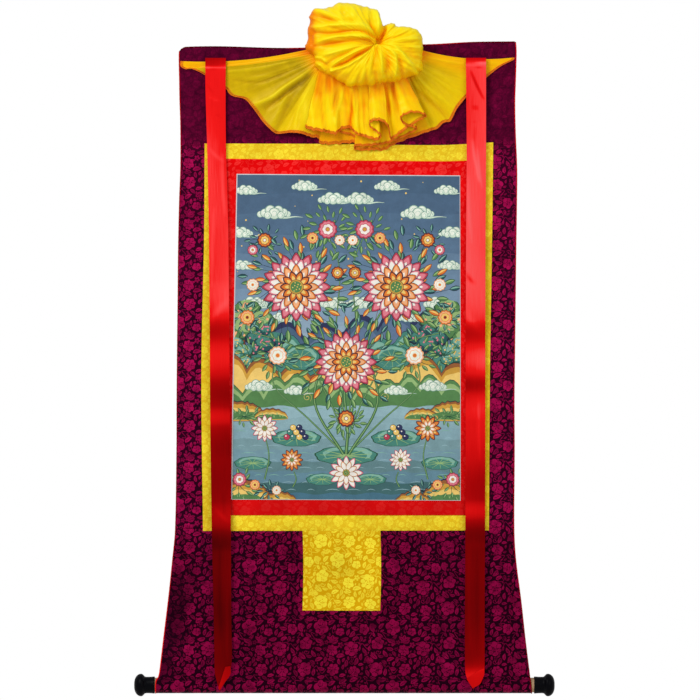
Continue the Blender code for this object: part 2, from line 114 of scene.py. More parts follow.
CLOTH_CREASES = (  # from across and height, to across and height, bow, depth to the wall, width
    (-0.2330, -0.868, -0.2310, -0.934, 0.001, 0.0011, 0.0022),
    (-0.2210, -0.860, -0.2235, -0.918, -0.001, -0.0008, 0.0026),
    (-0.2060, -0.866, -0.2050, -0.902, 0.001, 0.0009, 0.0020),
    (-0.1500, -0.872, -0.1540, -0.900, 0.001, 0.0004, 0.0030),
    (0.1985, -0.864, 0.2010, -0.914, 0.001, 0.0010, 0.0022),
    (0.1890, -0.870, 0.1880, -0.896, 0.000, -0.0006, 0.0024),
    (0.2360, -0.872, 0.2390, -0.925, 0.001, 0.0007, 0.0030),
    (-0.0660, -0.178, -0.0600, -0.214, 0.001, 0.0006, 0.0024),
    (0.1300, -0.180, 0.1270, -0.210, 0.001, 0.0004, 0.0026),
    (-0.2600, -0.930, -0.3100, -1.120, 0.010, 0.0022, 0.0120),
    (-0.1700, -0.920, -0.2050, -1.130, 0.008, 0.0013, 0.0150),
    (0.2400, -0.930, 0.2900, -1.120, -0.010, 0.0016, 0.0140),
    (0.1200, -0.920, 0.1500, -1.110, 0.006, 0.0012, 0.0160),
    (0.0300, -1.045, 0.0200, -1.140, 0.004, -0.0010, 0.0140),
    (-0.0900, -1.030, -0.1100, -1.140, 0.004, 0.0012, 0.0130),
    (-0.2950, -0.250, -0.2850, -0.420, 0.004, 0.0009, 0.0060),
    (0.2900, -0.300, 0.2830, -0.520, 0.004, 0.0009, 0.0060),
    (-0.2900, -0.560, -0.2990, -0.760, 0.003, 0.0009, 0.0060),
    (0.2850, -0.640, 0.2930, -0.830, 0.003, 0.0008, 0.0060),
)


def ease(u):
    u = np.clip(u, 0.0, 1.0)
    return u * u * (3 - 2 * u)


def through(rows, at, column=1):
    """The value of a table's column at each place, on a smooth curve through its rows."""
    rows = np.array(sorted(rows))
    place, value = rows[:, 0], rows[:, column]
    at = np.clip(np.asarray(at, dtype=float), place[0], place[-1])
    k = np.clip(np.searchsorted(place, at, side="left") - 1, 0, len(rows) - 2)
    before, after = np.maximum(k - 1, 0), np.minimum(k + 2, len(rows) - 1)
    span = place[k + 1] - place[k]
    slope_in = (value[k + 1] - value[before]) / (place[k + 1] - place[before]) * span
    slope_out = (value[after] - value[k]) / (place[after] - place[k]) * span
    u = (at - place[k]) / span
    bends = u * (1 - u) ** 2 * slope_in + u * u * (u - 1) * slope_out
    return value[k] + ease(u) * (value[k + 1] - value[k]) + bends


def creases(x, z, rows):
    """The depth at each point of soft creases that run between two places, bowed to one side and fading out at both ends."""
    depth = np.zeros_like(x)
    for from_x, from_z, to_x, to_z, bow, deep, wide in rows:
        along_x, along_z = to_x - from_x, to_z - from_z
        length = math.hypot(along_x, along_z)
        share = ((x - from_x) * along_x + (z - from_z) * along_z) / length**2
        aside = ((x - from_x) * along_z - (z - from_z) * along_x) / length
        inside = np.clip(share, 0.0, 1.0)
        past = (share - inside) * length
        away = (aside - 4 * bow * inside * (1 - inside)) ** 2 + past**2
        depth += deep * np.exp(-away / wide**2) * np.sin(math.pi * (0.06 + 0.88 * inside)) ** 0.6
    return depth


def relief(x, z):
    """How far the hanging cloth stands from its plane: a shallow billow, looser near the roller and at the sides."""
    free = ease((z - TAUT_BELOW) / 0.15)
    billow = BILLOW * np.sin(5.2 * x + 0.7) * np.sin(3.1 * z)
    loose = ease((LOOSE_BELOW - z) / 0.10) * ease((z - TAUT_BELOW) / 0.07)
    waves = WAVE * np.sin(26.0 * x + 3.0 * z) + BROAD_WAVE * np.sin(11.0 * x - 1.0)
    left_curl = LEFT_CURL * ease((-CURL_FROM - x) / CURL_WIDTH) ** 2
    right_curl = RIGHT_CURL * ease((x - CURL_FROM) / CURL_WIDTH) ** 2
    beside_frame = ease((-0.10 - z) / 0.3) * ease((z + 0.92) / 0.3)
    flutter = FLUTTER * np.sin(9.0 * z + 0.6) * ease((np.abs(x) - FLUTTER_FROM) / 0.04)
    slack = 0.0003 * np.sin(41.0 * x + 9.0 * z) * np.sin(23.0 * z - 14.0 * x)
    hanging = billow * free + loose * (waves + left_curl + right_curl) + flutter * beside_frame
    return hanging + free * (slack + creases(x, z, CLOTH_CREASES))


def cloth_left(height):
    return through(SIDES, height, 1) + PIPING_INSET


def cloth_right(height):
    return through(SIDES, height, 2) - PIPING_INSET


def top_seam(across):
    return through(YELLOW_TOP, across) - GROUND_LAP


def bottom_seam(across):
    return through(YELLOW_BOTTOM, across) + GROUND_LAP


def counter_clockwise(shape):
    """The outline with its points in the order that keeps its inside on the left."""
    shape = np.asarray(shape, dtype=float)
    x, y = shape[:, 0], shape[:, 1]
    twice_area = np.sum(x * np.roll(y, -1) - y * np.roll(x, -1))
    return shape if twice_area > 0 else shape[::-1]


def round_shape(reach, steps, middle=(0.0, 0.0), squash=1.0, turn=0.0):
    """An outline round a middle point. reach is its radius, or gives the radius at each angle."""
    angles = np.arange(steps) * 2 * math.pi / steps
    radius = reach(angles) if callable(reach) else np.full(steps, float(reach))
    x, y = radius * np.cos(angles), radius * squash * np.sin(angles)
    cos, sin = math.cos(turn), math.sin(turn)
    return np.column_stack((middle[0] + x * cos - y * sin, middle[1] + x * sin + y * cos))


def stroke(route, widths):
    """The outline of a brush stroke along a route, with its width at each point."""
    route = np.asarray(route, dtype=float)
    ahead = np.gradient(route, axis=0)
    ahead /= np.linalg.norm(ahead, axis=1)[:, None] + 1e-9
    across = np.column_stack((-ahead[:, 1], ahead[:, 0])) * np.asarray(widths)[:, None] / 2
    return counter_clockwise(np.vstack((route + across, (route - across)[::-1])))


def smooth_route(corners, steps):
    """Points on a smooth curve through the corners of a route."""
    corners = np.asarray(corners, dtype=float)
    numbered = [(float(k), *corner) for k, corner in enumerate(corners)]
    at = np.linspace(0, len(corners) - 1, steps)
    return np.column_stack([through(numbered, at, column) for column in range(1, corners.shape[1] + 1)])


def moved(shapes, across, up, size=1.0, turn=0.0):
    """The shapes of a figure at a place of their own, at some size and turned by so many degrees."""
    cos, sin = size * math.cos(math.radians(turn)), size * math.sin(math.radians(turn))
    spin = np.array(((cos, sin), (-sin, cos)))
    return [(tone, np.asarray(shape) @ spin + (across, up)) for tone, shape in shapes]


def peony(petals=6, sort=0.0):
    """A full blossom of radius 1 with no two petals alike, slits between them, and curls round its middle."""

    def rim(angle):
        lobes = np.abs(np.sin(petals * (angle + 0.16 * np.sin(2 * angle + sort)) / 2)) ** 0.7
        return (0.72 + 0.28 * lobes) * (1 + 0.09 * np.sin(angle + 2.1 * sort) + 0.06 * np.sin(2 * angle + sort))

    shapes = [(1.0, round_shape(rim, 6 * petals))]
    for k in range(petals):
        angle = 2 * math.pi * k / petals
        turn = math.degrees(angle - 0.16 * math.sin(2 * angle + sort))
        shapes += moved([(0.0, [(0.42, -0.04), (0.78, 0.0), (0.42, 0.07)])], 0, 0, 1, turn)
    curl = [(0.30, -0.15), (0.39, 0.06), (0.26, 0.22), (0.18, 0.17), (0.27, 0.03), (0.22, -0.12)]
    for k in range(3):
        shapes += moved([(0.0, curl)], 0, 0, 1, 120 * k + 40 * sort)
    return shapes + [(0.0, round_shape(0.10, 5))]


def floweret(petals=5):
    """A small open flower of radius 1."""
    lobes = round_shape(lambda a: 0.52 + 0.48 * np.abs(np.sin(petals * a / 2)) ** 0.8, petals * 4)
    return [(1.0, lobes), (0.0, round_shape(0.24, 5))]


def leaf(bend=0.12, wide=0.52):
    """A pointed leaf of length 1 from its stalk, with a slit along its midrib."""
    along = np.array((0.0, 0.14, 0.36, 0.62, 0.86, 1.0))
    midrib = np.column_stack((along, 4 * bend * along * (1 - along)))
    widths = wide * np.array((0.12, 0.66, 1.0, 0.92, 0.46, 0.02))
    slit = np.array((0.16, 0.74))
    line = np.column_stack((slit, 4 * bend * slit * (1 - slit)))
    return [(1.0, stroke(midrib, widths)), (0.0, stroke(line, wide * np.array((0.16, 0.05))))]


def tendril(turns=0.95, thick=0.16):
    """A vine's tendril of about length 1 that curls up round a bud."""
    angle = np.linspace(0.0, 2 * math.pi * turns, 10)
    radius = 0.55 * (1 - 0.72 * np.linspace(0.0, 1.0, 10) ** 0.8)
    route = np.column_stack((0.55 + radius * np.cos(math.pi - angle), radius * np.sin(math.pi - angle)))
    return [(1.0, stroke(route, np.linspace(thick, thick * 0.8, 10))), (1.0, round_shape(0.15, 6, route[-1]))]


def cloudlet():
    """A scroll of cloud with three lobes, of radius about 1."""
    shapes = [(1.0, round_shape(lambda a: 0.62 + 0.38 * np.abs(np.cos(1.5 * a)), 18, squash=0.8))]
    for k in range(3):
        hook = [(0.30, 0.02), (0.62, 0.10), (0.66, 0.24)]
        shapes += moved([(0.0, hook)], 0, 0, 1, 120 * k)
    return shapes


FIGURE_WIDTH, FIGURE_DROP = 132.0, 112.0
BLOSSOMS = (  # petals, across, up, size, turn, in millimetres
    (6, 8.0, 10.0, 13.5, 12.0),
    (5, 56.0, 22.0, 12.0, 50.0),
    (7, 104.0, 8.0, 10.5, 5.0),
    (5, 32.0, 48.0, 10.0, 30.0),
    (6, 84.0, 50.0, 14.5, 70.0),
    (5, 120.0, 42.0, 8.0, 20.0),
    (6, 12.0, 82.0, 10.5, 40.0),
    (5, 54.0, 84.0, 13.0, 0.0),
    (7, 106.0, 86.0, 11.5, 33.0),
)
VINES = (  # from which blossom, to which, and how far the vine bows
    (0, 1, 6.0),
    (1, 4, -7.0),
    (3, 7, 5.0),
    (4, 8, -6.0),
    (3, 6, 6.0),
    (4, 5, 5.0),
    (7, 8, 7.0),
    (0, 3, -6.0),
    (1, 3, 5.0),
)
FILLERS = (  # kind, size, how many places are tried
    (leaf, 15.0, 110),
    (leaf, 12.5, 180),
    (cloudlet, 7.0, 40),
    (floweret, 6.0, 70),
    (tendril, 9.5, 90),
    (leaf, 10.0, 380),
    (floweret, 4.4, 150),
    (tendril, 7.0, 160),
    (leaf, 7.2, 560),
    (floweret, 3.0, 200),
    (leaf, 4.8, 420),
)
CLEARANCE = 0.55


def figure_repeat(richness):
    """One repeat of the damask's figure: blossoms and vines, with leaves, tendrils and small flowers fitted in
    between, the largest first. A filler is kept where it stays clear of all that is there, across the repeat's edge too."""
    size = np.array((FIGURE_WIDTH, FIGURE_DROP))
    shapes, taken = [], []
    for first, second, bow in VINES:
        one, other = (np.array(BLOSSOMS[k][1:3]) for k in (first, second))
        along = (other - one) / math.dist(one, other)
        start, end = one + along * (BLOSSOMS[first][3] + 1.5), other - along * (BLOSSOMS[second][3] + 1.5)
        bowed = bow * np.array((-along[1], along[0]))
        route = smooth_route([start, start + (end - start) / 3 + bowed, end - (end - start) / 3 - bowed, end], 12)
        shapes.append((0.7, stroke(route, np.full(12, 1.2))))
        taken.append(route)
    for number, (petals, across, up, reach, turn) in enumerate(BLOSSOMS):
        made = moved(peony(petals, 1.7 * number), across, up, reach, turn)
        shapes += made
        taken += [made[0][1], (made[0][1] + (across, up)) / 2]
    tried = 0
    for kind, reach, places in FILLERS[:richness]:
        for _ in range(places):
            tried += 1
            spot = (tried * np.array((0.7549, 0.5698))) % 1.0 * size
            made = moved(kind(), spot[0], spot[1], reach * (0.9 + 0.2 * ((tried * 0.37) % 1)), (tried * 137.5) % 360)
            probe = np.vstack([shape for _, shape in made[:2]])
            apart = np.abs(probe[:, None] - np.vstack(taken)[None]) % size
            apart = np.minimum(apart, size - apart)
            if np.min(np.hypot(apart[..., 0], apart[..., 1])) > CLEARANCE + 0.04 * reach:
                dense = 0.5 + 0.5 * ((tried * 0.618) % 1)
                shapes += [(tone * dense, shape) for tone, shape in made]
                taken.append(probe)
    return shapes


repeats = {}


def figured(low, high, size=1.0, shift=(0.0, 0.0), richness=len(FILLERS)):
    """The damask's figure over a rectangle in millimetres, in its own size and from its own starting point."""
    width, drop = FIGURE_WIDTH * size, FIGURE_DROP * size
    if richness not in repeats:
        repeats[richness] = figure_repeat(richness)
    repeat = repeats[richness]
    shapes = []
    margin = 14.0 * size
    low, high = np.array(low) - margin, np.array(high) + margin
    rows = range(math.floor((low[1] - shift[1]) / drop) - 1, math.ceil((high[1] - shift[1]) / drop) + 1)
    columns = range(math.floor((low[0] - shift[0]) / width) - 1, math.ceil((high[0] - shift[0]) / width) + 1)
    for row in rows:
        for column in columns:
            for tone, shape in moved(repeat, shift[0] + column * width, shift[1] + row * drop, size):
                if np.all(shape.max(axis=0) > low) and np.all(shape.min(axis=0) < high):
                    shapes.append((tone, shape))
    return shapes


def filled(flat, lines, faces):
    """Fills the first of these faces with triangles that respect all lines: (points, triangles, the last face over each)."""
    flat = [Vector((float(x), float(y))) for x, y in flat]
    points, _, triangles, _, _, inside = delaunay_2d_cdt(flat, lines, faces, 0, 1e-4, True)
    kept = [k for k, ids in enumerate(inside) if 0 in ids]
    over = np.array([max(inside[k]) for k in kept])
    used, corners = np.unique(np.array([triangles[k] for k in kept]), return_inverse=True)
    return np.array([points[k][:] for k in used]), corners.reshape(-1, 3), over


def triangles_in(outlines, loose):
    """Fills the first outline with triangles that respect all the others."""
    ends = np.cumsum([len(outline) for outline in outlines])
    faces = [list(range(end - len(outline), end)) for outline, end in zip(outlines, ends)]
    return filled(np.vstack((*outlines, loose)), [], faces)


def border_of(triangles):
    """The points round a sheet of triangles, in order."""
    edges = np.vstack((triangles[:, :2], triangles[:, 1:], triangles[:, ::2][:, ::-1]))
    known = {tuple(edge) for edge in edges.tolist()}
    following = {a: b for a, b in known if (b, a) not in known}
    first = min(following)
    border, point = [first], following[first]
    while point != first:
        border.append(point)
        point = following[point]
    return border


def without_hidden_lines(points, triangles, tones, loose):
    """The same figure in fewer triangles. Of its lines, only those between two tones are left in the mesh."""
    border = border_of(triangles)
    kind = np.tile(np.unique(tones, axis=0, return_inverse=True)[1].ravel(), 3)
    sides = np.sort(np.vstack((triangles[:, :2], triangles[:, 1:], triangles[:, ::2])), axis=1)
    order = np.lexsort((sides[:, 1], sides[:, 0]))
    sides, kind = sides[order], kind[order]
    figure_strength_and_painted_light = np.all(sides[1:] == sides[:-1], axis=1) & (kind[1:] != kind[:-1])
    lines = sides[:-1][figure_strength_and_painted_light]
    used, numbered = np.unique(np.concatenate((lines.ravel(), border)), return_inverse=True)
    lines, border = numbered[: lines.size].reshape(-1, 2), numbered[lines.size :]
    new_points, faces, _ = filled(np.vstack((points[used], loose)), lines.tolist(), [border.tolist()])
    before = BVHTree.FromPolygons(np.column_stack((points, 0 * points[:, 0])).tolist(), triangles.tolist())
    middles = new_points[faces].mean(axis=1)
    found = [before.find_nearest((x, y, 0.0))[2] for x, y in middles.tolist()]
    return new_points, faces, tones[found]


def sewn_piece(name, edge, shapes, place, net=8.0, rows=(), ground=0.0, back=0.25, shade=None):
    """A cloth with its figure in its mesh. The edge, the figure's shapes and the net of points that lets it bend are
    flat, in millimetres, as is each line of points across it that rows gives by place across. place(across, height,
    depth) then puts them on the hanging cloth, at its face or its back. shade gives a painted shade: how much of its
    tone shows where."""
    edge = counter_clockwise(edge)
    low, high = edge.min(axis=0), edge.max(axis=0)
    heights = np.arange(low[1] + net / 2, high[1], net)
    loose = [(x + 0.31 * net * (k % 2), y) for k, y in enumerate(heights) for x in np.arange(low[0], high[0], net)]
    for k, row in enumerate(rows):
        loose += [(x, float(row(x))) for x in np.arange(low[0] + 0.31 * net * (k % 2), high[0], net)]
    outlines = [edge] + [shape for _, shape in shapes]
    points, triangles, over = triangles_in(outlines, loose)
    tones = np.array([np.resize(tone, 3) for tone in [ground] + [tone for tone, _ in shapes]])
    points, triangles, face_tones = without_hidden_lines(points, triangles, tones[over], loose)
    border = border_of(triangles)
    rear_points, rear, _ = triangles_in([points[border]], loose)
    # Painted shade, where shade is given: the face's tones are darkened where the cloth lies in shade.
    if shade:
        middles = points[triangles].mean(axis=1) / 1000
        face_tones = face_tones * shade(middles[:, 0], middles[:, 1])[:, None]
    count, around = len(points), len(border)
    face = place(points[:, 0] / 1000, points[:, 1] / 1000, 0.0)
    behind = place(rear_points[:, 0] / 1000, rear_points[:, 1] / 1000, 1.0)
    order = {tuple(np.round(point, 4)): k for k, point in enumerate(rear_points.tolist())}
    rear_border = [order[tuple(np.round(points[k], 4).tolist())] + count for k in border]
    quads = [
        (border[k], rear_border[k], rear_border[(k + 1) % around], border[(k + 1) % around]) for k in range(around)
    ]
    faces = triangles.tolist() + (rear[:, ::-1] + count).tolist() + quads
    mesh = bpy.data.meshes.new(name)
    mesh.from_pydata(np.vstack((face, behind)).tolist(), [], faces)
    woven = mesh.color_attributes.new("figure", "FLOAT_COLOR", "CORNER")
    plain = np.resize(back, 3)
    corner_tones = np.vstack(
        (np.repeat(face_tones, 3, axis=0), np.tile(plain, (3 * len(rear), 1)), np.tile(plain, (4 * around, 1)))
    )
    woven.data.foreach_set("color", np.column_stack((corner_tones, np.ones(len(corner_tones)))).ravel())
    mesh.shade_smooth()
    mesh.set_sharp_from_angle(angle=math.radians(50))
    piece = bpy.data.objects.new(name, mesh)
    bpy.context.scene.collection.objects.link(piece)
    return piece


def put(tree, kind, inputs=None, **settings):
    """Adds a node. Each input takes a value, or another node's output."""
    node = tree.nodes.new(kind)
    for key, value in settings.items():
        setattr(node, key, value)
    for key, value in (inputs or {}).items():
        if isinstance(value, bpy.types.NodeSocket):
            tree.links.new(value, node.inputs[key])
        else:
            node.inputs[key].default_value = value
    return node


def new_finish(name, roughness, **constants):
    """A finish with its own shader. Constants are the shader's inputs that are the same all over."""
    finish = bpy.data.materials.new(name)
    finish.use_nodes = True
    shader = finish.node_tree.nodes["Principled BSDF"]
    shader.inputs["Roughness"].default_value = roughness
    for key, value in constants.items():
        shader.inputs[key.replace("_", " ").title().replace("Ior", "IOR")].default_value = value
    return finish, finish.node_tree, shader


def blended(tree, share, first, second, kind="MIX"):
    """A colour between two others."""
    mix = put(tree, "ShaderNodeMix", data_type="RGBA", blend_type=kind)
    for socket, value in ((mix.inputs[0], share), (mix.inputs[6], first), (mix.inputs[7], second)):
        if isinstance(value, bpy.types.NodeSocket):
            tree.links.new(value, socket)
        else:
            socket.default_value = value if isinstance(value, (int, float)) else (*value, 1.0)
    return mix.outputs[2]


def threads(tree, pitch, strength, depth):
    """The bump of a fine weave: warp and weft of one pitch, a little uneven."""
    where = put(tree, "ShaderNodeTexCoord").outputs["Object"]
    slub = put(tree, "ShaderNodeTexNoise", {"Vector": where, "Scale": 0.55 / pitch, "Detail": 2.0})
    grain = put(tree, "ShaderNodeTexNoise", {"Vector": where, "Scale": 0.06 / pitch, "Detail": 3.0})
    height = put(tree, "ShaderNodeMath", {0: slub.outputs["Fac"], 1: grain.outputs["Fac"]}, operation="ADD")
    bump = put(
        tree, "ShaderNodeBump", {"Height": height.outputs[0], "Strength": strength, "Distance": depth}
    )
    return bump.outputs["Normal"]


def damask(name, ground, figure, tints, gloss_level, between=0.2, patchy=(0.9, 1.1), float_gloss=0.36, ground_gloss=0.58):
    """Silk damask: a matt ground and a glossier figure. tints gives, by height, how strongly the figure stands out
    from its ground, in part a painted sheen, and the cloth's painted light and shade. Where it stands out less, both
    are nearer the tone between them."""
    finish, tree, shader = new_finish(name, ground_gloss, specular_ior_level=gloss_level, specular_tint=(*figure, 1.0))
    where = put(tree, "ShaderNodeTexCoord").outputs["Object"]
    height = put(tree, "ShaderNodeSeparateXYZ", {"Vector": where}).outputs["Z"]
    tone = put(tree, "ShaderNodeAttribute", attribute_name="figure").outputs["Fac"]
    level = put(tree, "ShaderNodeMapRange", {"Value": height, "From Min": -1.20, "From Max": 0.02})
    show = put(tree, "ShaderNodeValToRGB", {"Fac": level.outputs["Result"]})
    ramp = show.color_ramp
    for k, (at, strength, light) in enumerate(sorted(tints)):
        stop = ramp.elements[k] if k < 2 else ramp.elements.new(1.0)
        stop.position = (at + 1.20) / 1.22
        stop.color = (strength, light, 0.0, 1.0)
    figure_strength_and_painted_light = put(tree, "ShaderNodeSeparateColor", {"Color": show.outputs["Color"]})

    def varied(scale, detail, low, high):
        noise = put(tree, "ShaderNodeTexNoise", {"Vector": where, "Scale": scale, "Detail": detail})
        spread = put(tree, "ShaderNodeMapRange", {"Value": noise.outputs["Fac"], "From Min": 0.3, "From Max": 0.7})
        spread.inputs["To Min"].default_value = low
        spread.inputs["To Max"].default_value = high
        return spread.outputs["Result"]

    def worked(operation, first, second):
        return put(tree, "ShaderNodeMath", {0: first, 1: second}, operation=operation).outputs[0]

    # How strongly the figure shows by height, in part a painted sheen.
    plain = worked("MULTIPLY", worked("SUBTRACT", 1.0, figure_strength_and_painted_light.outputs["Red"]), between)
    share = worked("ADD", worked("MULTIPLY", tone, figure_strength_and_painted_light.outputs["Red"]), plain)
    share = worked("MULTIPLY", share, varied(620.0, 1.0, 0.72, 1.22))
    share = worked("MULTIPLY", share, varied(75.0, 2.0, *patchy))
    cloth = blended(tree, share, ground, figure)
    # Painted light and shade by height, with a random patchiness.
    light = worked("MULTIPLY", figure_strength_and_painted_light.outputs["Green"], varied(14.0, 4.0, 0.88, 1.12))
    cloth = blended(tree, 1.0, cloth, light, "MULTIPLY")
    tree.links.new(cloth, shader.inputs["Base Color"])
    gloss = put(tree, "ShaderNodeMapRange", {"Value": tone, "To Min": ground_gloss, "To Max": float_gloss})
    tree.links.new(gloss.outputs["Result"], shader.inputs["Roughness"])
    tree.links.new(threads(tree, 0.0005, 0.35, 0.00025), shader.inputs["Normal"])
    return finish


def hung_piece(piece, finish, slot, node, flat, held, **cut):
    """Gives a cloth its finish, hangs it from the root and hides the part that it takes the place of. What it stands
    for and what it was cut to are not used.
    """
    piece.data.materials.append(finish)
    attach(piece, "root")
    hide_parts(node)


def outline_between(left, right, top, bottom, step=0.008):
    """The flat edge of a piece between four edges, in millimetres. Left and right are given by height, top and bottom
    by place across."""

    def corner(side, end):
        height = float(end(0.0))
        for _ in range(4):
            across = float(side(height))
            height = float(end(across))
        return across, height

    corners = [corner(left, top), corner(left, bottom), corner(right, bottom), corner(right, top)]
    edge = []
    for k, (start, end) in enumerate(zip(corners, corners[1:] + corners[:1])):
        count = max(2, round(math.dist(start, end) / step))
        for share in np.arange(count) / count:
            across = start[0] + (end[0] - start[0]) * share
            height = start[1] + (end[1] - start[1]) * share
            if k % 2 == 0:
                across = float((left, right)[k // 2](height))
            else:
                height = float((bottom, top)[k // 2](across))
            edge.append((1000 * across, 1000 * height))
    return edge


def side_panel_place(x, z, depth):
    """The face of a panel beside the frame. Its two ends go in behind the panels above and below, and are sewn there."""
    above, below = z - top_seam(x), bottom_seam(x) - z
    y = relief(x, z) + BROCADE * (depth - 0.5) + 0.0009 * (np.exp(-((above / 0.0016) ** 2)) + np.exp(-((below / 0.0016) ** 2)))
    y = y + 1.15 * BROCADE * ease((np.maximum(above, below) + 0.0012) / 0.0011)
    return np.column_stack((x, y, z))


def row_along(line, beyond):
    """A row of points along a line across the cloth, so far above it."""
    return lambda across: 1000 * (float(line(across / 1000)) + beyond)


def hem_fold(across):
    return through(TOP_EDGE, across) - PIPING_INSET - BROCADE / 2 - HEM_BEND


def top_panel_place(x, height, depth):
    """The face of the top panel, over its fold and down its hem, at some share of its thickness."""
    outward = BROCADE * (0.5 - depth)
    past = height - hem_fold(x)
    turn = np.clip(past / HEM_BEND, 0.0, math.pi)
    radius = HEM_BEND + outward
    y = HEM_BEND - radius * np.cos(turn)
    down = np.maximum(past - math.pi * HEM_BEND, 0.0)
    z = hem_fold(x) + np.minimum(past, 0.0) + radius * np.sin(turn) - down
    y = y + 0.0009 * np.exp(-(((z - top_seam(x)) / 0.0016) ** 2)) * (past < 0)
    return np.column_stack((x, y + relief(x, z), z))


def sleeve_line():
    """The way down the bottom panel's front, round the roller and up its back, as depth and height by length."""
    turn = np.radians(np.arange(180, 401, 4))
    arc = np.column_stack((np.cos(turn), np.sin(turn)))
    sewn = -1.0 + 1.05 * LAYER / SLEEVE_RADIUS
    tail = smooth_route([arc[-1], (-0.10, 1.34), (sewn + 0.04, 1.84), (sewn, 2.30)], 16)[1:]
    line = np.vstack((arc, tail)) * SLEEVE_RADIUS + (ROLLER_DEPTH, ROLLER_HEIGHT)
    line = np.vstack(((0.0, ROLLER_HEIGHT + 0.4), line))
    length = np.concatenate(((0.0,), np.cumsum(np.linalg.norm(np.diff(line, axis=0), axis=1))))
    return length - 0.4, line[:, 0], line[:, 1]


SLEEVE_LENGTH, SLEEVE_Y, SLEEVE_Z = sleeve_line()


def bottom_panel_place(x, height, depth):
    """The face of the bottom panel, round its sleeve, at some share of its thickness."""
    down = ROLLER_HEIGHT - height
    y = np.interp(down, SLEEVE_LENGTH, SLEEVE_Y)
    z = np.interp(down, SLEEVE_LENGTH, SLEEVE_Z)
    step = 0.0004
    ahead_y = np.interp(down + step, SLEEVE_LENGTH, SLEEVE_Y) - np.interp(down - step, SLEEVE_LENGTH, SLEEVE_Y)
    ahead_z = np.interp(down + step, SLEEVE_LENGTH, SLEEVE_Z) - np.interp(down - step, SLEEVE_LENGTH, SLEEVE_Z)
    length = np.hypot(ahead_y, ahead_z) + 1e-12
    outward = BROCADE * (0.5 - depth)
    y_face = y + outward * ahead_z / length
    z_face = z - outward * ahead_y / length
    seams = np.exp(-(((z - bottom_seam(x)) / 0.0016) ** 2)) + 0.6 * np.exp(-(((z - SLEEVE_SEAM) / 0.0012) ** 2))
    y_face = y_face + 0.0009 * seams * (down < 0)
    return np.column_stack((x, y_face + relief(x, z), z_face))


purple = damask(
    "purple_damask",
    (0.014, 0.0012, 0.0085),
    (0.40, 0.0045, 0.076),
    # Height, figure strength and painted light: a painted sheen brings out the figure below the top panel, and the
    # lowest cloth is painted darker.
    (
        (0.02, 0.10, 0.92),
        (-0.17, 0.14, 0.96),
        (-0.195, 0.72, 1.06),
        (-0.55, 0.85, 1.06),
        (-0.88, 0.85, 0.95),
        (-0.92, 0.85, 0.66),
        (-1.20, 0.92, 0.66),
    ),
    0.06,
    patchy=(0.55, 1.35),
)

hem_top = HEM_DEPTH + math.pi * HEM_BEND


def above_fold(across):
    return hem_fold(across) + hem_top


def panel_side(side, height):
    """The side edge of the top panel by flat height: over the fold, the hem lies behind the face."""
    fold = float(hem_fold(0.0))
    return side(np.where(height > fold, 2 * fold - height, height))


edge = outline_between(lambda z: panel_side(cloth_left, z), lambda z: panel_side(cloth_right, z), above_fold, top_seam)
low, high = np.min(edge, axis=0), np.max(edge, axis=0)


fold_rows = [row_along(hem_fold, HEM_BEND * turn) for turn in np.linspace(-1.0, math.pi + 1.0, 11)]
ground_top = sewn_piece("ground_top_cloth", edge, figured(low, high), top_panel_place, rows=fold_rows)
hung_piece(ground_top, purple, "ground_brocade", "ground_top", (0.616, 0.208), "hung")


def side_top(across):
    return top_seam(across) + SIDE_TUCK


def side_bottom(across):
    return bottom_seam(across) - SIDE_TUCK


def inner_left(height):
    return through(YELLOW_SIDES, height, 1) + LAP


def inner_right(height):
    return through(YELLOW_SIDES, height, 2) - LAP


seam_rows = [row_along(top_seam, step) for step in (-0.0013, -0.0009, -0.0005, -0.0001, 0.0006)]
seam_rows += [row_along(bottom_seam, -step) for step in (-0.0013, -0.0009, -0.0005, -0.0001, 0.0006)]
for side, left, right in (("left", cloth_left, inner_left), ("right", inner_right, cloth_right)):
    edge = outline_between(left, right, side_top, side_bottom)
    low, high = np.min(edge, axis=0), np.max(edge, axis=0)
    panel = sewn_piece(f"ground_{side}_cloth", edge, figured(low, high), side_panel_place, rows=seam_rows)
    hung_piece(panel, purple, "ground_brocade", f"ground_{side}", (0.060, 0.706), "hung")

sleeve_end = ROLLER_HEIGHT - SLEEVE_LENGTH[-1]


def sleeve_side(side, height):
    """The side edge of the bottom panel by flat height, round the sleeve."""
    return side(np.interp(ROLLER_HEIGHT - height, SLEEVE_LENGTH, SLEEVE_Z))


edge = outline_between(
    lambda z: sleeve_side(cloth_left, z),
    lambda z: sleeve_side(cloth_right, z),
    bottom_seam,
    lambda across: sleeve_end + 0.0 * across,
)
low, high = np.min(edge, axis=0), np.max(edge, axis=0)


def painted_shade_at_curl_and_seam(across, height):
    """Painted shade: the lower left edge curls to the back, and the cloth is painted darker there and along the
    sleeve's seam.
    """
    curled = ease((-0.268 - across + 0.25 * (height + 1.0)) / 0.030) * ease((-0.93 - height) / 0.10)
    curled = curled * ease((height + 1.185) / 0.03)
    seam = np.exp(-(((height - SLEEVE_SEAM) / 0.0014) ** 2))
    return (1 - 0.70 * curled) * (1 - 0.5 * seam)


bend_rows = [row_along(lambda across: 0.0, height) for height in np.arange(sleeve_end, ROLLER_HEIGHT, 0.0026)]
ground_bottom = sewn_piece(
    "ground_bottom_cloth", edge, figured(low, high), bottom_panel_place, rows=bend_rows, shade=painted_shade_at_curl_and_seam
)
hung_piece(ground_bottom, purple, "ground_brocade", "ground_bottom", (0.695, 0.380), "hung", rests_on=["roller"])


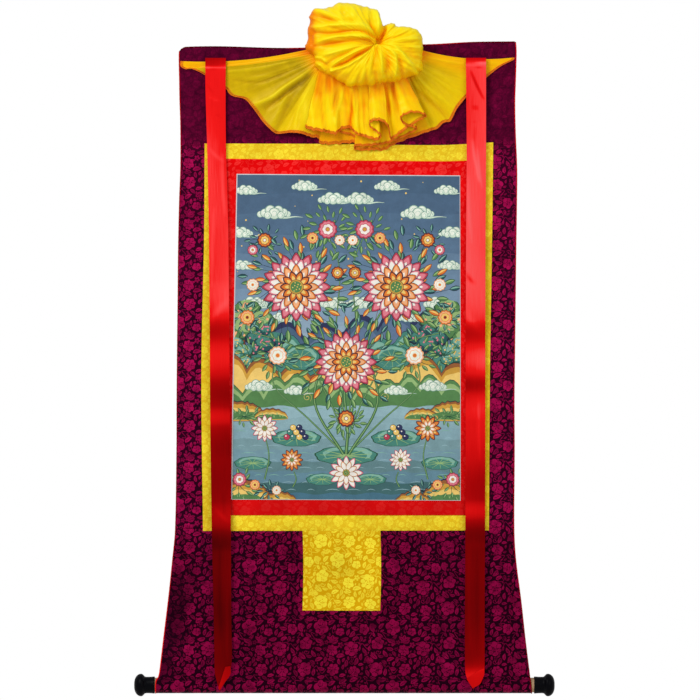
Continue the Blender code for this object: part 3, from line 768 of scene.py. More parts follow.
# Yellow strips and door. Golden damask is sewn flat round the frame in four strips, laid over the ground, and a
# square patch of it, the door, is sewn on below them.
RED_SIDES = (
    (-0.207, -0.234, 0.238),
    (-0.600, -0.238, 0.235),
    (-0.863, -0.236, 0.234),
)
RED_TOP = ((-0.234, -0.207), (0.171, -0.212), (0.238, -0.210))
RED_BOTTOM = ((-0.236, -0.863), (0.234, -0.863))
DOOR_LEFT, DOOR_RIGHT = -0.082, 0.0612
DOOR_BOTTOM = -1.0385
SEWN_EDGE = 0.0018


def sewn_flat(layer, top, bottom, left, right):
    """Puts a strip on its layer, with its edges pressed down where they are sewn."""

    def place(x, z, depth):
        inward = np.minimum.reduce((top(x) - z, z - bottom(x), x - left(z), right(z) - x))
        pressed = 0.00032 * np.exp(-np.maximum(inward, 0.0) / SEWN_EDGE)
        pucker = 0.00016 * np.sin(720.0 * x + 60.0 * z) * np.sin(650.0 * z) * np.exp(-np.maximum(inward, 0) / 0.004)
        y = relief(x, z) - layer * LAYER + BROCADE * (depth - 0.5) + pressed + pucker
        return np.column_stack((x, y, z))

    return place


def strip_frame(name, outer, inner, layer, finish, slot, size, richness, cuts):
    """Four strips from an outer outline to an inner one. They go on under the piece inside them by the lap. cuts gives
    what each was cut to."""
    outer_sides, outer_top, outer_bottom = outer
    inner_sides, inner_top, inner_bottom = inner

    def left(z):
        return through(outer_sides, z, 1)

    def right(z):
        return through(outer_sides, z, 2)

    def top(x):
        return through(outer_top, x)

    def bottom(x):
        return through(outer_bottom, x)

    def under_top(x):
        return through(inner_top, x) - LAP

    def under_bottom(x):
        return through(inner_bottom, x) + LAP

    def under_left(z):
        return through(inner_sides, z, 1) + LAP

    def under_right(z):
        return through(inner_sides, z, 2) - LAP

    edges = {
        "top": (left, right, top, under_top),
        "bottom": (left, right, under_bottom, bottom),
        "left": (left, under_left, under_top, under_bottom),
        "right": (under_right, right, under_top, under_bottom),
    }
    for number, (side, (a, b, c, d)) in enumerate(edges.items()):
        edge = outline_between(a, b, c, d)
        low, high = np.min(edge, axis=0), np.max(edge, axis=0)
        shapes = figured(low, high, size, (17.0 * number, 31.0 * number), richness)
        strip = sewn_piece(f"{name}_{side}_cloth", edge, shapes, sewn_flat(layer, c, d, a, b), net=5.0)
        hung_piece(strip, finish, slot, f"{name}_{side}", cuts[side], "stretched")


golden = damask(
    "yellow_damask",
    (0.74, 0.40, 0.003),
    (1.0, 0.83, 0.045),
    # Height, figure strength and painted light.
    ((0.02, 0.45, 1.0), (-0.55, 0.45, 0.97), (-0.885, 0.45, 1.0), (-0.897, 1.0, 0.94), (-1.20, 1.0, 0.94)),
    0.22,
    between=0.62,
    patchy=(0.80, 1.20),
    float_gloss=0.30,
    ground_gloss=0.5,
)
yellow_outline = (YELLOW_SIDES, YELLOW_TOP, YELLOW_BOTTOM)
red_outline = (RED_SIDES, RED_TOP, RED_BOTTOM)
yellow_cuts = {"top": (0.53, 0.036), "bottom": (0.53, 0.037), "left": (0.037, 0.64), "right": (0.038, 0.64)}
strip_frame("yellow", yellow_outline, red_outline, 1, golden, "yellow_brocade", 0.70, 8, yellow_cuts)


def door_top(x):
    return through(YELLOW_BOTTOM, x) - 0.0001


def door_side(across):
    return lambda z: across + 0.0015 * np.sin(20.0 * (z - DOOR_BOTTOM))


def door_bottom(x):
    return DOOR_BOTTOM + 0.0 * x


door_edges = (door_side(DOOR_LEFT), door_side(DOOR_RIGHT), door_top, door_bottom)
edge = outline_between(*door_edges)
low, high = np.min(edge, axis=0), np.max(edge, axis=0)
door_place = sewn_flat(1, door_top, door_bottom, *door_edges[:2])
door = sewn_piece("door_cloth", edge, figured(low, high, 1.0, (30.0, 12.0)), door_place, net=5.0)
hung_piece(door, golden, "yellow_brocade", "door", (0.146, 0.149), "stretched")


# Red strips. Scarlet damask is sewn over the yellow, next to the painting, and its own figure hardly shows.
PAINTING_SIDES = (
    (-0.235, -0.203, 0.208),
    (-0.596, -0.210, 0.209),
    (-0.835, -0.213, 0.209),
)
PAINTING_TOP = ((-0.203, -0.235), (0.208, -0.238))
PAINTING_BOTTOM = ((-0.213, -0.834), (0.209, -0.836))

scarlet = damask(
    "red_damask",
    (0.80, 0.0, 0.0015),
    (1.0, 0.045, 0.040),
    # Height, figure strength and painted light: painted darker towards the bottom.
    ((-0.20, 0.7, 0.93), (-0.26, 0.45, 1.0), (-0.55, 0.40, 0.98), (-0.82, 0.30, 0.84), (-0.86, 0.22, 0.75)),
    0.16,
    between=0.15,
    float_gloss=0.34,
    ground_gloss=0.5,
)
painting_outline = (PAINTING_SIDES, PAINTING_TOP, PAINTING_BOTTOM)
red_cuts = {"top": (0.472, 0.037), "bottom": (0.470, 0.036), "left": (0.039, 0.584), "right": (0.036, 0.584)}
strip_frame("red", red_outline, painting_outline, 2, scarlet, "red_brocade", 0.80, 5, red_cuts)


# Painting. Sized cotton canvas, painted with matte mineral colours and fine gold lines, and sewn in with a thin bare
# margin. Its picture is a plain decorative one: three great lotuses over a pond, with hills, clouds and leaves.
MARGIN_LEFT, MARGIN_TOP, MARGIN_RIGHT, MARGIN_BOTTOM = 1.8, 1.6, 1.0, 0.8
PICTURE_MIDDLE = (-1.5, -535.0)
HALF_WIDTH, HALF_HEIGHT = 214.0, 304.0


def pigment(red, green, blue):
    """A colour as the eye sees it, from 0 to 255, as the light it reflects."""
    seen = np.array((red, green, blue)) / 255.0
    return tuple(np.where(seen < 0.04045, seen / 12.92, ((seen + 0.055) / 1.055) ** 2.4).tolist())


INK = pigment(30, 38, 58)
NAVY = pigment(44, 50, 88)
SLATE = pigment(74, 100, 126)
TEAL = pigment(70, 132, 118)
DEEP_TEAL = pigment(34, 84, 84)
PALE_TEAL = pigment(128, 178, 160)
LEAF_GREEN = pigment(84, 130, 76)
DARK_GREEN = pigment(38, 78, 56)
LIGHT_GREEN = pigment(148, 182, 118)
CLOUD = pigment(206, 224, 204)
CLOUD_EDGE = pigment(112, 150, 138)
CLOUD_LIGHT = pigment(236, 242, 226)
GOLD = pigment(206, 156, 60)
PALE_GOLD = pigment(238, 200, 110)
ORANGE = pigment(224, 122, 44)
PEACH = pigment(244, 178, 128)
PINK = pigment(226, 128, 142)
ROSE = pigment(186, 62, 84)
WHITE = pigment(242, 236, 226)
MAROON = pigment(112, 44, 40)
EARTH = pigment(150, 92, 48)
WATER = pigment(70, 112, 132)
WATER_LIGHT = pigment(146, 180, 188)
GREENS = (DARK_GREEN, LEAF_GREEN, LIGHT_GREEN)
TEALS = (INK, DEEP_TEAL, PALE_TEAL)
GOLDS = (MAROON, ORANGE, PALE_GOLD)
SKY = (  # height of each band's upper edge, red, green, blue
    (300, 70, 96, 122),
    (262, 74, 100, 127),
    (226, 80, 107, 134),
    (190, 88, 115, 142),
    (154, 98, 125, 151),
    (120, 108, 135, 160),
    (88, 119, 145, 169),
    (58, 130, 155, 177),
    (30, 141, 165, 184),
    (4, 151, 174, 190),
)


def sky_band(upper, colour):
    x = np.linspace(-HALF_WIDTH, HALF_WIDTH, 19)
    edge = upper + 3.0 * np.sin(x / 31.0 + upper) + (40.0 if upper == SKY[0][0] else 0.0)
    low = [(HALF_WIDTH, -HALF_HEIGHT - 20), (-HALF_WIDTH, -HALF_HEIGHT - 20)]
    return [(colour, list(zip(x, edge)) + low)]


def hill_range(level, height, wave, shift, colours, steps=56):
    """A range of rounded hills, lighter band over darker, with an inked ridge."""
    x = np.linspace(-HALF_WIDTH, HALF_WIDTH, steps)
    ridge = level + height * np.abs(np.sin(x / wave + shift)) ** 0.7 + 0.45 * height * np.sin(x / (2.7 * wave) - shift)
    shapes = []
    for drop, colour in zip((0.0, 1.2, 0.24 * height + 2, 0.55 * height + 4), (INK, *colours)):
        upper = ridge - drop - 0.12 * drop * np.sin(x / 5.0)
        shapes.append((colour, list(zip(x, upper)) + [(HALF_WIDTH, -320.0), (-HALF_WIDTH, -320.0)]))
    return shapes


def petal(length, width, tip=0.06):
    along = np.array((0.0, 0.18, 0.42, 0.66, 0.84, 0.95, 1.0))
    half = width / 2 * np.array((0.30, 0.72, 1.0, 0.94, 0.62, 0.28, tip))
    return [(length * a, h) for a, h in zip(along, half)] + [(length * a, -h) for a, h in zip(along[::-1], half[::-1])]


def painted_petal(length, width, edge, body, light, turn, reach):
    """A petal with an inked edge, a tinted tip and a light heart, whose base lies at some reach from the middle."""
    shapes = [(INK, petal(length, width)), (edge, petal(0.97 * length, 0.86 * width))]
    shapes.append((body, petal(0.86 * length, 0.70 * width)))
    shapes.append((light, petal(0.60 * length, 0.42 * width)))
    shapes = [(tone, [(reach + x, y) for x, y in shape]) for tone, shape in shapes]
    return moved(shapes, 0, 0, 1, turn)


def lotus(size, rows):
    """A lotus seen from above its rim. Each row of petals is: count, reach, length, width, edge, body and light."""
    shapes = []
    for number, (count, reach, length, width, edge, body, light) in enumerate(rows):
        for k in range(count):
            turn = 360 * (k + 0.5 * (number % 2)) / count + 90
            shapes += painted_petal(length, width, edge, body, light, turn, reach)
    shapes.append((INK, round_shape(0.215, 24)))
    shapes.append((GOLD, round_shape(0.20, 24)))
    shapes.append((LEAF_GREEN, round_shape(0.165, 20)))
    for k in range(9):
        angle, reach = 2.4 * k, 0.042 * math.sqrt(k + 0.4)
        seed = (1.15 * reach * math.cos(angle), 1.15 * reach * math.sin(angle))
        shapes.append((PALE_GOLD, round_shape(0.019, 6, seed)))
    return moved(shapes, 0, 0, size)


GREAT_LOTUS = (
    (16, 0.42, 0.58, 0.30, ROSE, PINK, WHITE),
    (16, 0.30, 0.52, 0.27, PINK, WHITE, CLOUD_LIGHT),
    (12, 0.20, 0.46, 0.25, ORANGE, PEACH, WHITE),
    (10, 0.13, 0.34, 0.22, MAROON, ORANGE, PALE_GOLD),
)
WHITE_LOTUS = (
    (12, 0.30, 0.70, 0.36, PINK, WHITE, CLOUD_LIGHT),
    (9, 0.18, 0.52, 0.32, PEACH, WHITE, WHITE),
)
ORANGE_LOTUS = (
    (12, 0.30, 0.70, 0.36, MAROON, ORANGE, PALE_GOLD),
    (9, 0.18, 0.50, 0.32, ORANGE, PEACH, WHITE),
)


def rosette(size, edge, body, light, heart):
    """A round garden flower with two rows of notched petals."""
    shapes = [(INK, round_shape(lambda a: 0.90 + 0.12 * np.abs(np.sin(5.5 * a)), 33))]
    shapes.append((edge, round_shape(lambda a: 0.85 + 0.12 * np.abs(np.sin(5.5 * a)), 33)))
    shapes.append((body, round_shape(lambda a: 0.72 + 0.10 * np.abs(np.sin(5.5 * a)), 33)))
    shapes.append((edge, round_shape(lambda a: 0.54 + 0.08 * np.abs(np.sin(3.5 * a)), 28)))
    shapes.append((light, round_shape(lambda a: 0.47 + 0.08 * np.abs(np.sin(3.5 * a)), 28)))
    shapes.append((edge, round_shape(0.24, 12)))
    shapes.append((heart, round_shape(0.18, 10)))
    return moved(shapes, 0, 0, size)


def painted_leaf(length, dark, body, light):
    """A pointed leaf, lighter on one side of its vein."""
    along = np.array((0.0, 0.25, 0.55, 0.82, 1.0))
    half = 0.22 * np.array((0.15, 0.85, 1.0, 0.60, 0.03))
    upper = [(a, h) for a, h in zip(along, half)]
    lower = [(a, -h) for a, h in zip(along[::-1], half[::-1])]
    shapes = [(dark, upper + lower)]
    shapes.append((body, [(0.04 + 0.90 * x, 0.74 * y) for x, y in upper + lower]))
    shapes.append((light, [(0.06 + 0.86 * x, 0.62 * y) for x, y in upper] + [(0.90, 0.0), (0.08, 0.0)]))
    return moved(shapes, 0, 0, length)


def leafage(spread, count, length, tints=GREENS, squash=1.0):
    """A cluster of leaves that point away from its middle, the outer ones behind."""
    shapes = []
    for k in range(count, 0, -1):
        angle = 2.39996 * k + spread
        out = spread * math.sqrt(k / count)
        x, y = out * math.cos(angle), squash * out * math.sin(angle)
        if k % 3 == 2:
            twig = smooth_route([(0, 0), (0.5 * x + 0.12 * y, 0.5 * y - 0.12 * x), (x, y)], 4)
            shapes.append((tints[0], stroke(twig, np.linspace(1.5, 0.7, 4))))
        shapes += moved(painted_leaf(length, *tints), x, y, 0.85 + 0.3 * ((k * 0.618) % 1), math.degrees(angle) + 14)
    return shapes


def round_leaf(size, turn, squash=0.62):
    """A lotus leaf seen aslant, with a wavy rim and veins."""
    rim = lambda a: 1.0 + 0.035 * np.sin(9 * a)
    shapes = [(DARK_GREEN, round_shape(rim, 32, squash=squash))]
    shapes.append((TEAL, round_shape(lambda a: 0.95 * rim(a), 32, squash=squash)))
    shapes.append((PALE_TEAL, round_shape(lambda a: 0.78 * rim(a), 26, (0.04, 0.05), squash)))
    shapes.append((TEAL, round_shape(lambda a: 0.66 * rim(a), 24, (0.0, -0.02), squash)))
    for k in range(11):
        angle = 2 * math.pi * k / 11 + 0.2
        end = (0.84 * math.cos(angle), 0.84 * squash * math.sin(angle))
        shapes.append((LIGHT_GREEN, stroke([(0.0, 0.0), end], (0.035, 0.012))))
    return moved(shapes, 0, 0, size, turn)


CLOUD_LOBES = (  # across, up and reach of each lobe, in order from the back
    (-1.55, -0.02, 0.36),
    (-1.05, 0.12, 0.50),
    (1.45, 0.00, 0.34),
    (1.00, 0.16, 0.48),
    (-0.45, 0.40, 0.60),
    (0.42, 0.38, 0.56),
    (0.0, 0.06, 0.66),
    (-0.72, -0.14, 0.42),
    (0.70, -0.12, 0.40),
)


def scroll_cloud(size, tail=1):
    """A bank of cloud in rounded lobes, each with a scroll inside, trailing off to one side."""
    trail = smooth_route([(0.2, -0.30), (1.2, -0.42), (2.2, -0.30), (3.1, -0.36)], 12) * (tail, 1.0)
    shapes = [(CLOUD_EDGE, stroke(trail, np.linspace(0.34, 0.05, 12)))]
    shapes.append((CLOUD, stroke(trail + (0.0, 0.02), np.linspace(0.24, 0.02, 12))))
    for across, up, reach in CLOUD_LOBES:
        shapes.append((CLOUD_EDGE, round_shape(reach, 15, (across, up))))
        shapes.append((CLOUD, round_shape(0.88 * reach, 14, (across, up))))
        shapes.append((CLOUD_LIGHT, round_shape(0.60 * reach, 10, (across - 0.06 * reach, up + 0.18 * reach))))
        angle = np.linspace(3.4, -1.0, 6)
        curl = np.column_stack((across + 0.42 * reach * np.cos(angle), up + 0.42 * reach * np.sin(angle)))
        shapes.append((PALE_TEAL, stroke(curl * 1.0, np.linspace(0.02, 0.07, 6))))
    return moved(shapes, 0, 0, size)


def pond():
    """Water in bands that darken to the front, with rows of rippled crests."""
    shapes = []
    x = np.linspace(-HALF_WIDTH, HALF_WIDTH, 40)
    for k in range(9):
        level = -128.0 - 20.0 * k
        share = k / 8
        colour = tuple(a + (b - a) * share for a, b in zip(WATER_LIGHT, DEEP_TEAL if k % 2 else WATER))
        shapes.append((colour, list(zip(x, level + 2.2 * np.sin(x / 11 + 2 * k))) + [(HALF_WIDTH, -330), (-HALF_WIDTH, -330)]))
    for row in range(12):
        level = -134.0 - 13.5 * row
        for k in range(13):
            middle = -HALF_WIDTH + (k + 0.5 * (row % 2)) * 34.0 + 6.0 * math.sin(3.0 * row + k)
            width = 11.0 + 4.0 * math.sin(1.7 * k + row)
            arc = [(middle + width * t, level + 2.6 * (1 - t * t)) for t in np.linspace(-1, 1, 5)]
            shapes.append((WATER_LIGHT if row % 3 else PALE_TEAL, stroke(arc, (0.1, 0.9, 1.2, 0.9, 0.1))))
    return shapes


def stem(corners, thick=2.6, steps=22):
    """A plant's stem with an inked edge and a light along it."""
    route = smooth_route(corners, steps)
    width = np.linspace(1.25, 0.75, steps) * thick
    return [
        (DARK_GREEN, stroke(route, width)),
        (LEAF_GREEN, stroke(route, 0.62 * width)),
        (LIGHT_GREEN, stroke(route + (-0.12 * thick, 0.0), 0.18 * width)),
    ]


def gold_scroll(across, up, size, turn, side=1):
    """A fine gold line that winds up in a scroll."""
    angle = np.linspace(0.0, 3.2 * math.pi, 22)
    reach = 1.0 - 0.28 * angle / math.pi
    route = np.column_stack((1.0 - reach * np.cos(angle), side * reach * np.sin(angle)))
    return moved([(PALE_GOLD, stroke(route, np.linspace(0.03, 0.12, 22)))], across, up, size, turn)


def fan_tree(height, dark, body, light, blossom):
    """A garden tree: a bent trunk, and crowns of scalloped foliage with blossoms on them."""
    shapes = []
    trunk = [(0.0, 0.0), (0.05, 0.22), (-0.04, 0.44), (0.03, 0.72)]
    for tone, width in ((INK, 0.085), (MAROON, 0.062), (EARTH, 0.022)):
        shapes.append((tone, stroke(smooth_route(trunk, 12), np.linspace(width, 0.5 * width, 12))))
    for across, up, reach in CROWNS:
        for tone, share, rise in ((dark, 1.0, 0.0), (body, 0.88, 0.015), (light, 0.62, 0.05)):
            rim = lambda a: share * reach * (0.90 + 0.12 * np.abs(np.sin(4.5 * a + up)))
            shapes.append((tone, round_shape(rim, 30, (across, up + rise * reach * 5), 0.66)))
        for k in range(5):
            angle = 2.4 * k + 9 * across
            out = 0.72 * reach * math.sqrt((k + 0.5) / 5)
            spot = (across + out * math.cos(angle), up + 0.66 * out * math.sin(angle))
            tip = blossom if k % 2 else light
            shapes += moved(painted_leaf(0.10, dark, tip, tip), spot[0], spot[1], 1.0, 60 * k)
            shapes.append((blossom, round_shape(0.022, 6, spot)))
    return moved(shapes, 0, 0, height)


CROWNS = (  # across, up and reach of each crown of a tree, in order from the back
    (0.02, 0.98, 0.22),
    (-0.20, 0.80, 0.24),
    (0.22, 0.78, 0.25),
    (-0.02, 0.66, 0.27),
    (-0.26, 0.55, 0.18),
    (0.27, 0.52, 0.19),
)


def mound(width, height):
    """A rounded bank of earth in bands of colour, grassy at its foot."""
    shapes = []
    for tone, share in ((INK, 1.0), (EARTH, 0.95), (GOLD, 0.82), (PALE_GOLD, 0.60), (LEAF_GREEN, 0.42)):
        x = np.linspace(-1, 1, 21) * width * (0.47 + 0.03 * share)
        swell = np.sqrt(1.02 - np.linspace(-1, 1, 21) ** 2)
        upper = share * height * swell * (0.94 + 0.06 * np.sin(0.55 * x))
        lower = -0.16 * share * height * swell
        shapes.append((tone, list(zip(x, upper)) + list(zip(x[::-1], lower[::-1]))))
    for k in range(9):
        root = ((k / 8 - 0.5) * 0.7 * width, height * (0.22 + 0.15 * math.sin(2.3 * k)))
        for lean in (-2.4, 0.0, 2.4):
            shapes.append((LIGHT_GREEN, stroke([root, (root[0] + lean, root[1] + 6.0)], (1.1, 0.1))))
    return shapes


def jewels(size, tints):
    """A heap of round jewels, each with its light."""
    shapes = []
    for row in range(3):
        for k in range(4 - row):
            spot = ((k - (3 - row) / 2) * 2.05 * size, 1.55 * row * size)
            tone = tints[(k + row) % len(tints)]
            shapes.append((INK, round_shape(1.06 * size, 16, spot)))
            shapes.append((tone, round_shape(0.92 * size, 16, spot)))
            shapes.append((WHITE, round_shape(0.26 * size, 6, (spot[0] - 0.3 * size, spot[1] + 0.32 * size))))
    return shapes


def on_both_sides(make, rows):
    """What make gives for the end of each row, set down left and right of the middle where the row begins."""
    shapes = []
    for across, up, *kind in rows:
        shapes += moved(make(*kind), -across, up) + moved(make(*kind), across, up)
    return shapes


ROSY = (ROSE, PINK, WHITE, GOLD)
PEACHY = (ORANGE, PEACH, PALE_GOLD, MAROON)
PALE = (PEACH, WHITE, CLOUD_LIGHT, ORANGE)
FIERY = (MAROON, ORANGE, PALE_GOLD, WHITE)


def picture():
    """The whole picture about its middle, in millimetres, from the back to the front."""
    shapes = []
    for upper, *colour in SKY:
        shapes += sky_band(upper, pigment(*colour))
    for k in range(26):
        spot = ((k * 0.7549 % 1 - 0.5) * 400, 120 + (k * 0.5698 % 1) * 170)
        shapes.append((PALE_GOLD, round_shape(0.9 + 0.5 * (k % 3), 6, spot)))
    clouds = ((132, 226, 17.0), (184, 268, 12.0), (196, 190, 14.0), (76, 276, 13.0), (190, 130, 12.0), (24, 252, 15.0))
    shapes += on_both_sides(scroll_cloud, clouds)
    shapes += hill_range(6.0, 34.0, 21.0, 0.4, (NAVY, SLATE, pigment(96, 118, 148)))
    shapes += on_both_sides(scroll_cloud, ((170, 60, 15.0), (118, 34, 12.0), (26, 60, 15.0)))
    shapes += hill_range(-30.0, 30.0, 17.0, 1.3, (TEAL, PALE_TEAL, TEAL))
    trees = (
        (184, -64, 118.0, *GREENS, PEACH),
        (150, -70, 84.0, INK, DEEP_TEAL, TEAL, PINK),
        (205, -84, 74.0, DARK_GREEN, TEAL, PALE_TEAL, PALE_GOLD),
    )
    shapes += on_both_sides(fan_tree, trees)
    shapes += on_both_sides(leafage, ((178, -34, 26, 16, 12.0, GREENS, 0.8), (138, -48, 18, 14, 10.0, TEALS, 0.7)))
    shapes += hill_range(-66.0, 26.0, 19.0, 0.2, (EARTH, GOLD, PALE_GOLD))
    shapes += hill_range(-98.0, 22.0, 13.0, 2.2, (LEAF_GREEN, LIGHT_GREEN, LEAF_GREEN))
    shapes += on_both_sides(scroll_cloud, ((160, -92, 14.0), (92, -100, 12.0)))
    shapes += pond()
    shapes += on_both_sides(mound, ((196, -150, 96.0, 34.0), (138, -150, 62.0, 20.0)))
    shapes += on_both_sides(leafage, ((188, -146, 30, 16, 12.0, GREENS, 0.4),))
    leaves = ((92, -186, 46.0, 0, 0.34), (172, -232, 34.0, 0, 0.36), (44, -262, 30.0, 0, 0.36))
    shapes += on_both_sides(round_leaf, leaves) + moved(round_leaf(58.0, 0, 0.30), 0, -218)
    for side, upper, lower in ((-1, WHITE_LOTUS, ORANGE_LOTUS), (1, ORANGE_LOTUS, WHITE_LOTUS)):
        shapes += stem([(side * 150, -262), (side * 142, -220), (side * 150, -178)])
        shapes += moved(lotus(25.0, upper), side * 150, -168)
        shapes += stem([(side * 98, -276), (side * 92, -262), (side * 96, -248)])
        shapes += moved(lotus(21.0, lower), side * 100, -226)
    shapes += on_both_sides(mound, ((190, -310, 110.0, 52.0), (122, -312, 70.0, 30.0)))
    shapes += on_both_sides(leafage, ((196, -272, 24, 16, 13.0), (140, -284, 20, 14, 12.0, TEALS, 0.6)))
    low_flowers = ((196, -262, 13.0, *ROSY), (168, -272, 10.0, *PEACHY), (128, -282, 9.0, *PALE))
    shapes += on_both_sides(rosette, low_flowers)
    for side in (-1, 1):
        shapes += stem([(side * 4, -214), (side * 70, -150), (side * 132, -90), (side * 128, -34)], 2.8)
        shapes += stem([(side * 3, -190), (side * 34, -110), (side * 92, -20), (side * 178, 10), (side * 182, 30)], 2.6)
        shapes += stem([(side * 2, -160), (side * 20, -20), (side * 12, 120), (side * 34, 190)], 2.6)
        shapes += stem([(side * 5, -216), (side * 58, -120), (side * 40, -10), (side * 92, 92)], 4.4)
        shapes += gold_scroll(side * 66, -118, 9.0, -40 * side + 90, side)
    shapes += on_both_sides(round_leaf, ((84, -38, 36.0, 0, 0.66),))
    sprays = (
        (126, -34, 34, 20, 15.0),
        (92, 92, 100, 30, 20.0, TEALS),
        (182, 34, 24, 18, 12.0, TEALS),
        (34, 196, 40, 27, 15.0),
        (150, 176, 26, 15, 13.0, TEALS),
        (92, 92, 92, 38, 21.0),
        (92, 92, 80, 28, 21.0, GOLDS),
    )
    shapes += on_both_sides(leafage, sprays)
    flowers = (
        (126, -34, 18.0, *PALE),
        (182, 36, 14.0, *PEACHY),
        (34, 198, 18.0, *ROSY),
        (62, 182, 11.0, *PEACHY),
        (12, 178, 10.0, *PALE),
        (150, 178, 14.0, *FIERY),
        (172, 160, 10.0, *ROSY),
        (16, 118, 12.0, *FIERY),
        (172, 96, 12.0, *PALE),
    )
    shapes += on_both_sides(rosette, flowers)
    shapes += on_both_sides(lotus, ((92, 92, 64.0, GREAT_LOTUS),))
    shapes += stem([(0, -216), (3, -160), (-3, -110), (0, -62)], 5.2, 26)
    for spread, count, length, tints in ((90, 26, 19.0, TEALS), (84, 34, 20.0, GREENS), (72, 26, 20.0, GOLDS)):
        shapes += moved(leafage(spread, count, length, tints), 0, -46)
    shapes += moved(lotus(57.0, GREAT_LOTUS), 0, -46)
    shapes += on_both_sides(jewels, ((92, -184, 5.6, (ROSE, TEAL, PALE_GOLD, NAVY, PINK)),))
    shapes += moved(leafage(28, 20, 15.0, GREENS, 0.6), 0, -154)
    shapes += moved(rosette(16.0, *FIERY), 0, -150)
    shapes += moved(lotus(32.0, WHITE_LOTUS), 0, -250)
    return moved(shapes, *PICTURE_MIDDLE)


def painting_left(z):
    return through(PAINTING_SIDES, z, 1)


def painting_right(z):
    return through(PAINTING_SIDES, z, 2)


def painting_top(x):
    return through(PAINTING_TOP, x)


def painting_bottom(x):
    return through(PAINTING_BOTTOM, x)


painting_edges = (painting_left, painting_right, painting_top, painting_bottom)
edge = outline_between(*painting_edges, step=0.006)
field = outline_between(
    lambda z: painting_left(z) + MARGIN_LEFT / 1000,
    lambda z: painting_right(z) - MARGIN_RIGHT / 1000,
    lambda x: painting_top(x) - MARGIN_TOP / 1000,
    lambda x: painting_bottom(x) + MARGIN_BOTTOM / 1000,
)
frame_low, frame_high = np.min(edge, axis=0) - 5, np.max(edge, axis=0) + 5
picture_place = sewn_flat(3, painting_top, painting_bottom, painting_left, painting_right)
inner = np.array(field)


def margin_strips():
    """The bare margin, as four strips that cover the picture's own edges."""
    left, right = inner[:, 0].min(), inner[:, 0].max()
    rows = np.linspace(frame_low[1], frame_high[1], 9)
    at_left = [1000 * float(painting_left(z / 1000)) + MARGIN_LEFT for z in rows]
    at_right = [1000 * float(painting_right(z / 1000)) - MARGIN_RIGHT for z in rows]
    across = np.linspace(frame_low[0], frame_high[0], 9)
    at_top = [1000 * float(painting_top(x / 1000)) - MARGIN_TOP for x in across]
    at_bottom = [1000 * float(painting_bottom(x / 1000)) + MARGIN_BOTTOM for x in across]
    bare = pigment(206, 204, 206)
    return [
        (bare, counter_clockwise(list(zip(at_left, rows)) + [(frame_low[0], rows[-1]), (frame_low[0], rows[0])])),
        (bare, counter_clockwise(list(zip(at_right, rows)) + [(frame_high[0], rows[-1]), (frame_high[0], rows[0])])),
        (bare, counter_clockwise(list(zip(across, at_top)) + [(across[-1], frame_high[1]), (across[0], frame_high[1])])),
        (bare, counter_clockwise(list(zip(across, at_bottom)) + [(across[-1], frame_low[1]), (across[0], frame_low[1])])),
    ]


def inside_of(low, high, shapes):
    """Leaves out the shapes that lie wholly outside the canvas."""
    return [
        (tone, counter_clockwise(shape))
        for tone, shape in shapes
        if np.all(np.max(shape, axis=0) > low) and np.all(np.min(shape, axis=0) < high)
    ]


painted = inside_of(frame_low, frame_high, picture()) + margin_strips()
painting = sewn_piece(
    "painting_cloth", edge, painted, picture_place, net=12.0, ground=SLATE, back=pigment(196, 186, 168)
)
canvas, tree, shader = new_finish("painted_canvas", 0.72, specular_ior_level=0.22)
where = put(tree, "ShaderNodeTexCoord").outputs["Object"]
colours = put(tree, "ShaderNodeAttribute", attribute_name="figure").outputs["Color"]
washes = put(tree, "ShaderNodeTexNoise", {"Vector": where, "Scale": 60.0, "Detail": 5.0, "Roughness": 0.65})
wash = put(tree, "ShaderNodeMapRange", {"Value": washes.outputs["Fac"], "To Min": 0.72, "To Max": 1.26})
grain = put(tree, "ShaderNodeTexNoise", {"Vector": where, "Scale": 900.0, "Detail": 1.0})
grainy = put(tree, "ShaderNodeMapRange", {"Value": grain.outputs["Fac"], "To Min": 0.86, "To Max": 1.14})
colours = blended(tree, 1.0, colours, wash.outputs["Result"], "MULTIPLY")
colours = blended(tree, 1.0, colours, grainy.outputs["Result"], "MULTIPLY")
tree.links.new(colours, shader.inputs["Base Color"])
tree.links.new(threads(tree, 0.0006, 0.30, 0.0002), shader.inputs["Normal"])
hung_piece(painting, canvas, "painted_canvas", "painting", (0.424, 0.600), "stretched")


# Piping. A thin cord covered in red satin edges the two sides and the top. It is sewn on in one run round the cloth,
# so it is a little puckered by its stitches. Its tone is darker along some stretches than along others.
PIPING_STEP = 0.003
PIPING_SIDES = 10
PUCKER_PITCH = 0.0045
PUCKER_SHARE = 0.10
PIPING_END = ROLLER_HEIGHT + 1.9 * SLEEVE_RADIUS

satin, tree, shader = new_finish("red_satin", 0.40, specular_ior_level=0.16, specular_tint=(1.0, 0.08, 0.07, 1.0))
satin_tone = put(tree, "ShaderNodeAttribute", attribute_name="satin").outputs["Fac"]
laid = put(tree, "ShaderNodeAttribute", attribute_name="lay").outputs["Vector"]
across_weft = put(tree, "ShaderNodeMapping", {"Vector": laid, "Scale": (160.0, 1500.0, 1.0)})
weft = put(tree, "ShaderNodeTexNoise", {"Vector": across_weft.outputs["Vector"], "Scale": 1.0, "Detail": 2.0})
long_warp = put(tree, "ShaderNodeMapping", {"Vector": laid, "Scale": (900.0, 25.0, 1.0)})
warp = put(tree, "ShaderNodeTexNoise", {"Vector": long_warp.outputs["Vector"], "Scale": 1.0, "Detail": 3.0})
uneven = put(tree, "ShaderNodeMapRange", {"Value": warp.outputs["Fac"], "To Min": -0.045, "To Max": 0.045})
satin_tone = put(tree, "ShaderNodeMath", {0: satin_tone, 1: uneven.outputs["Result"]}, operation="ADD")
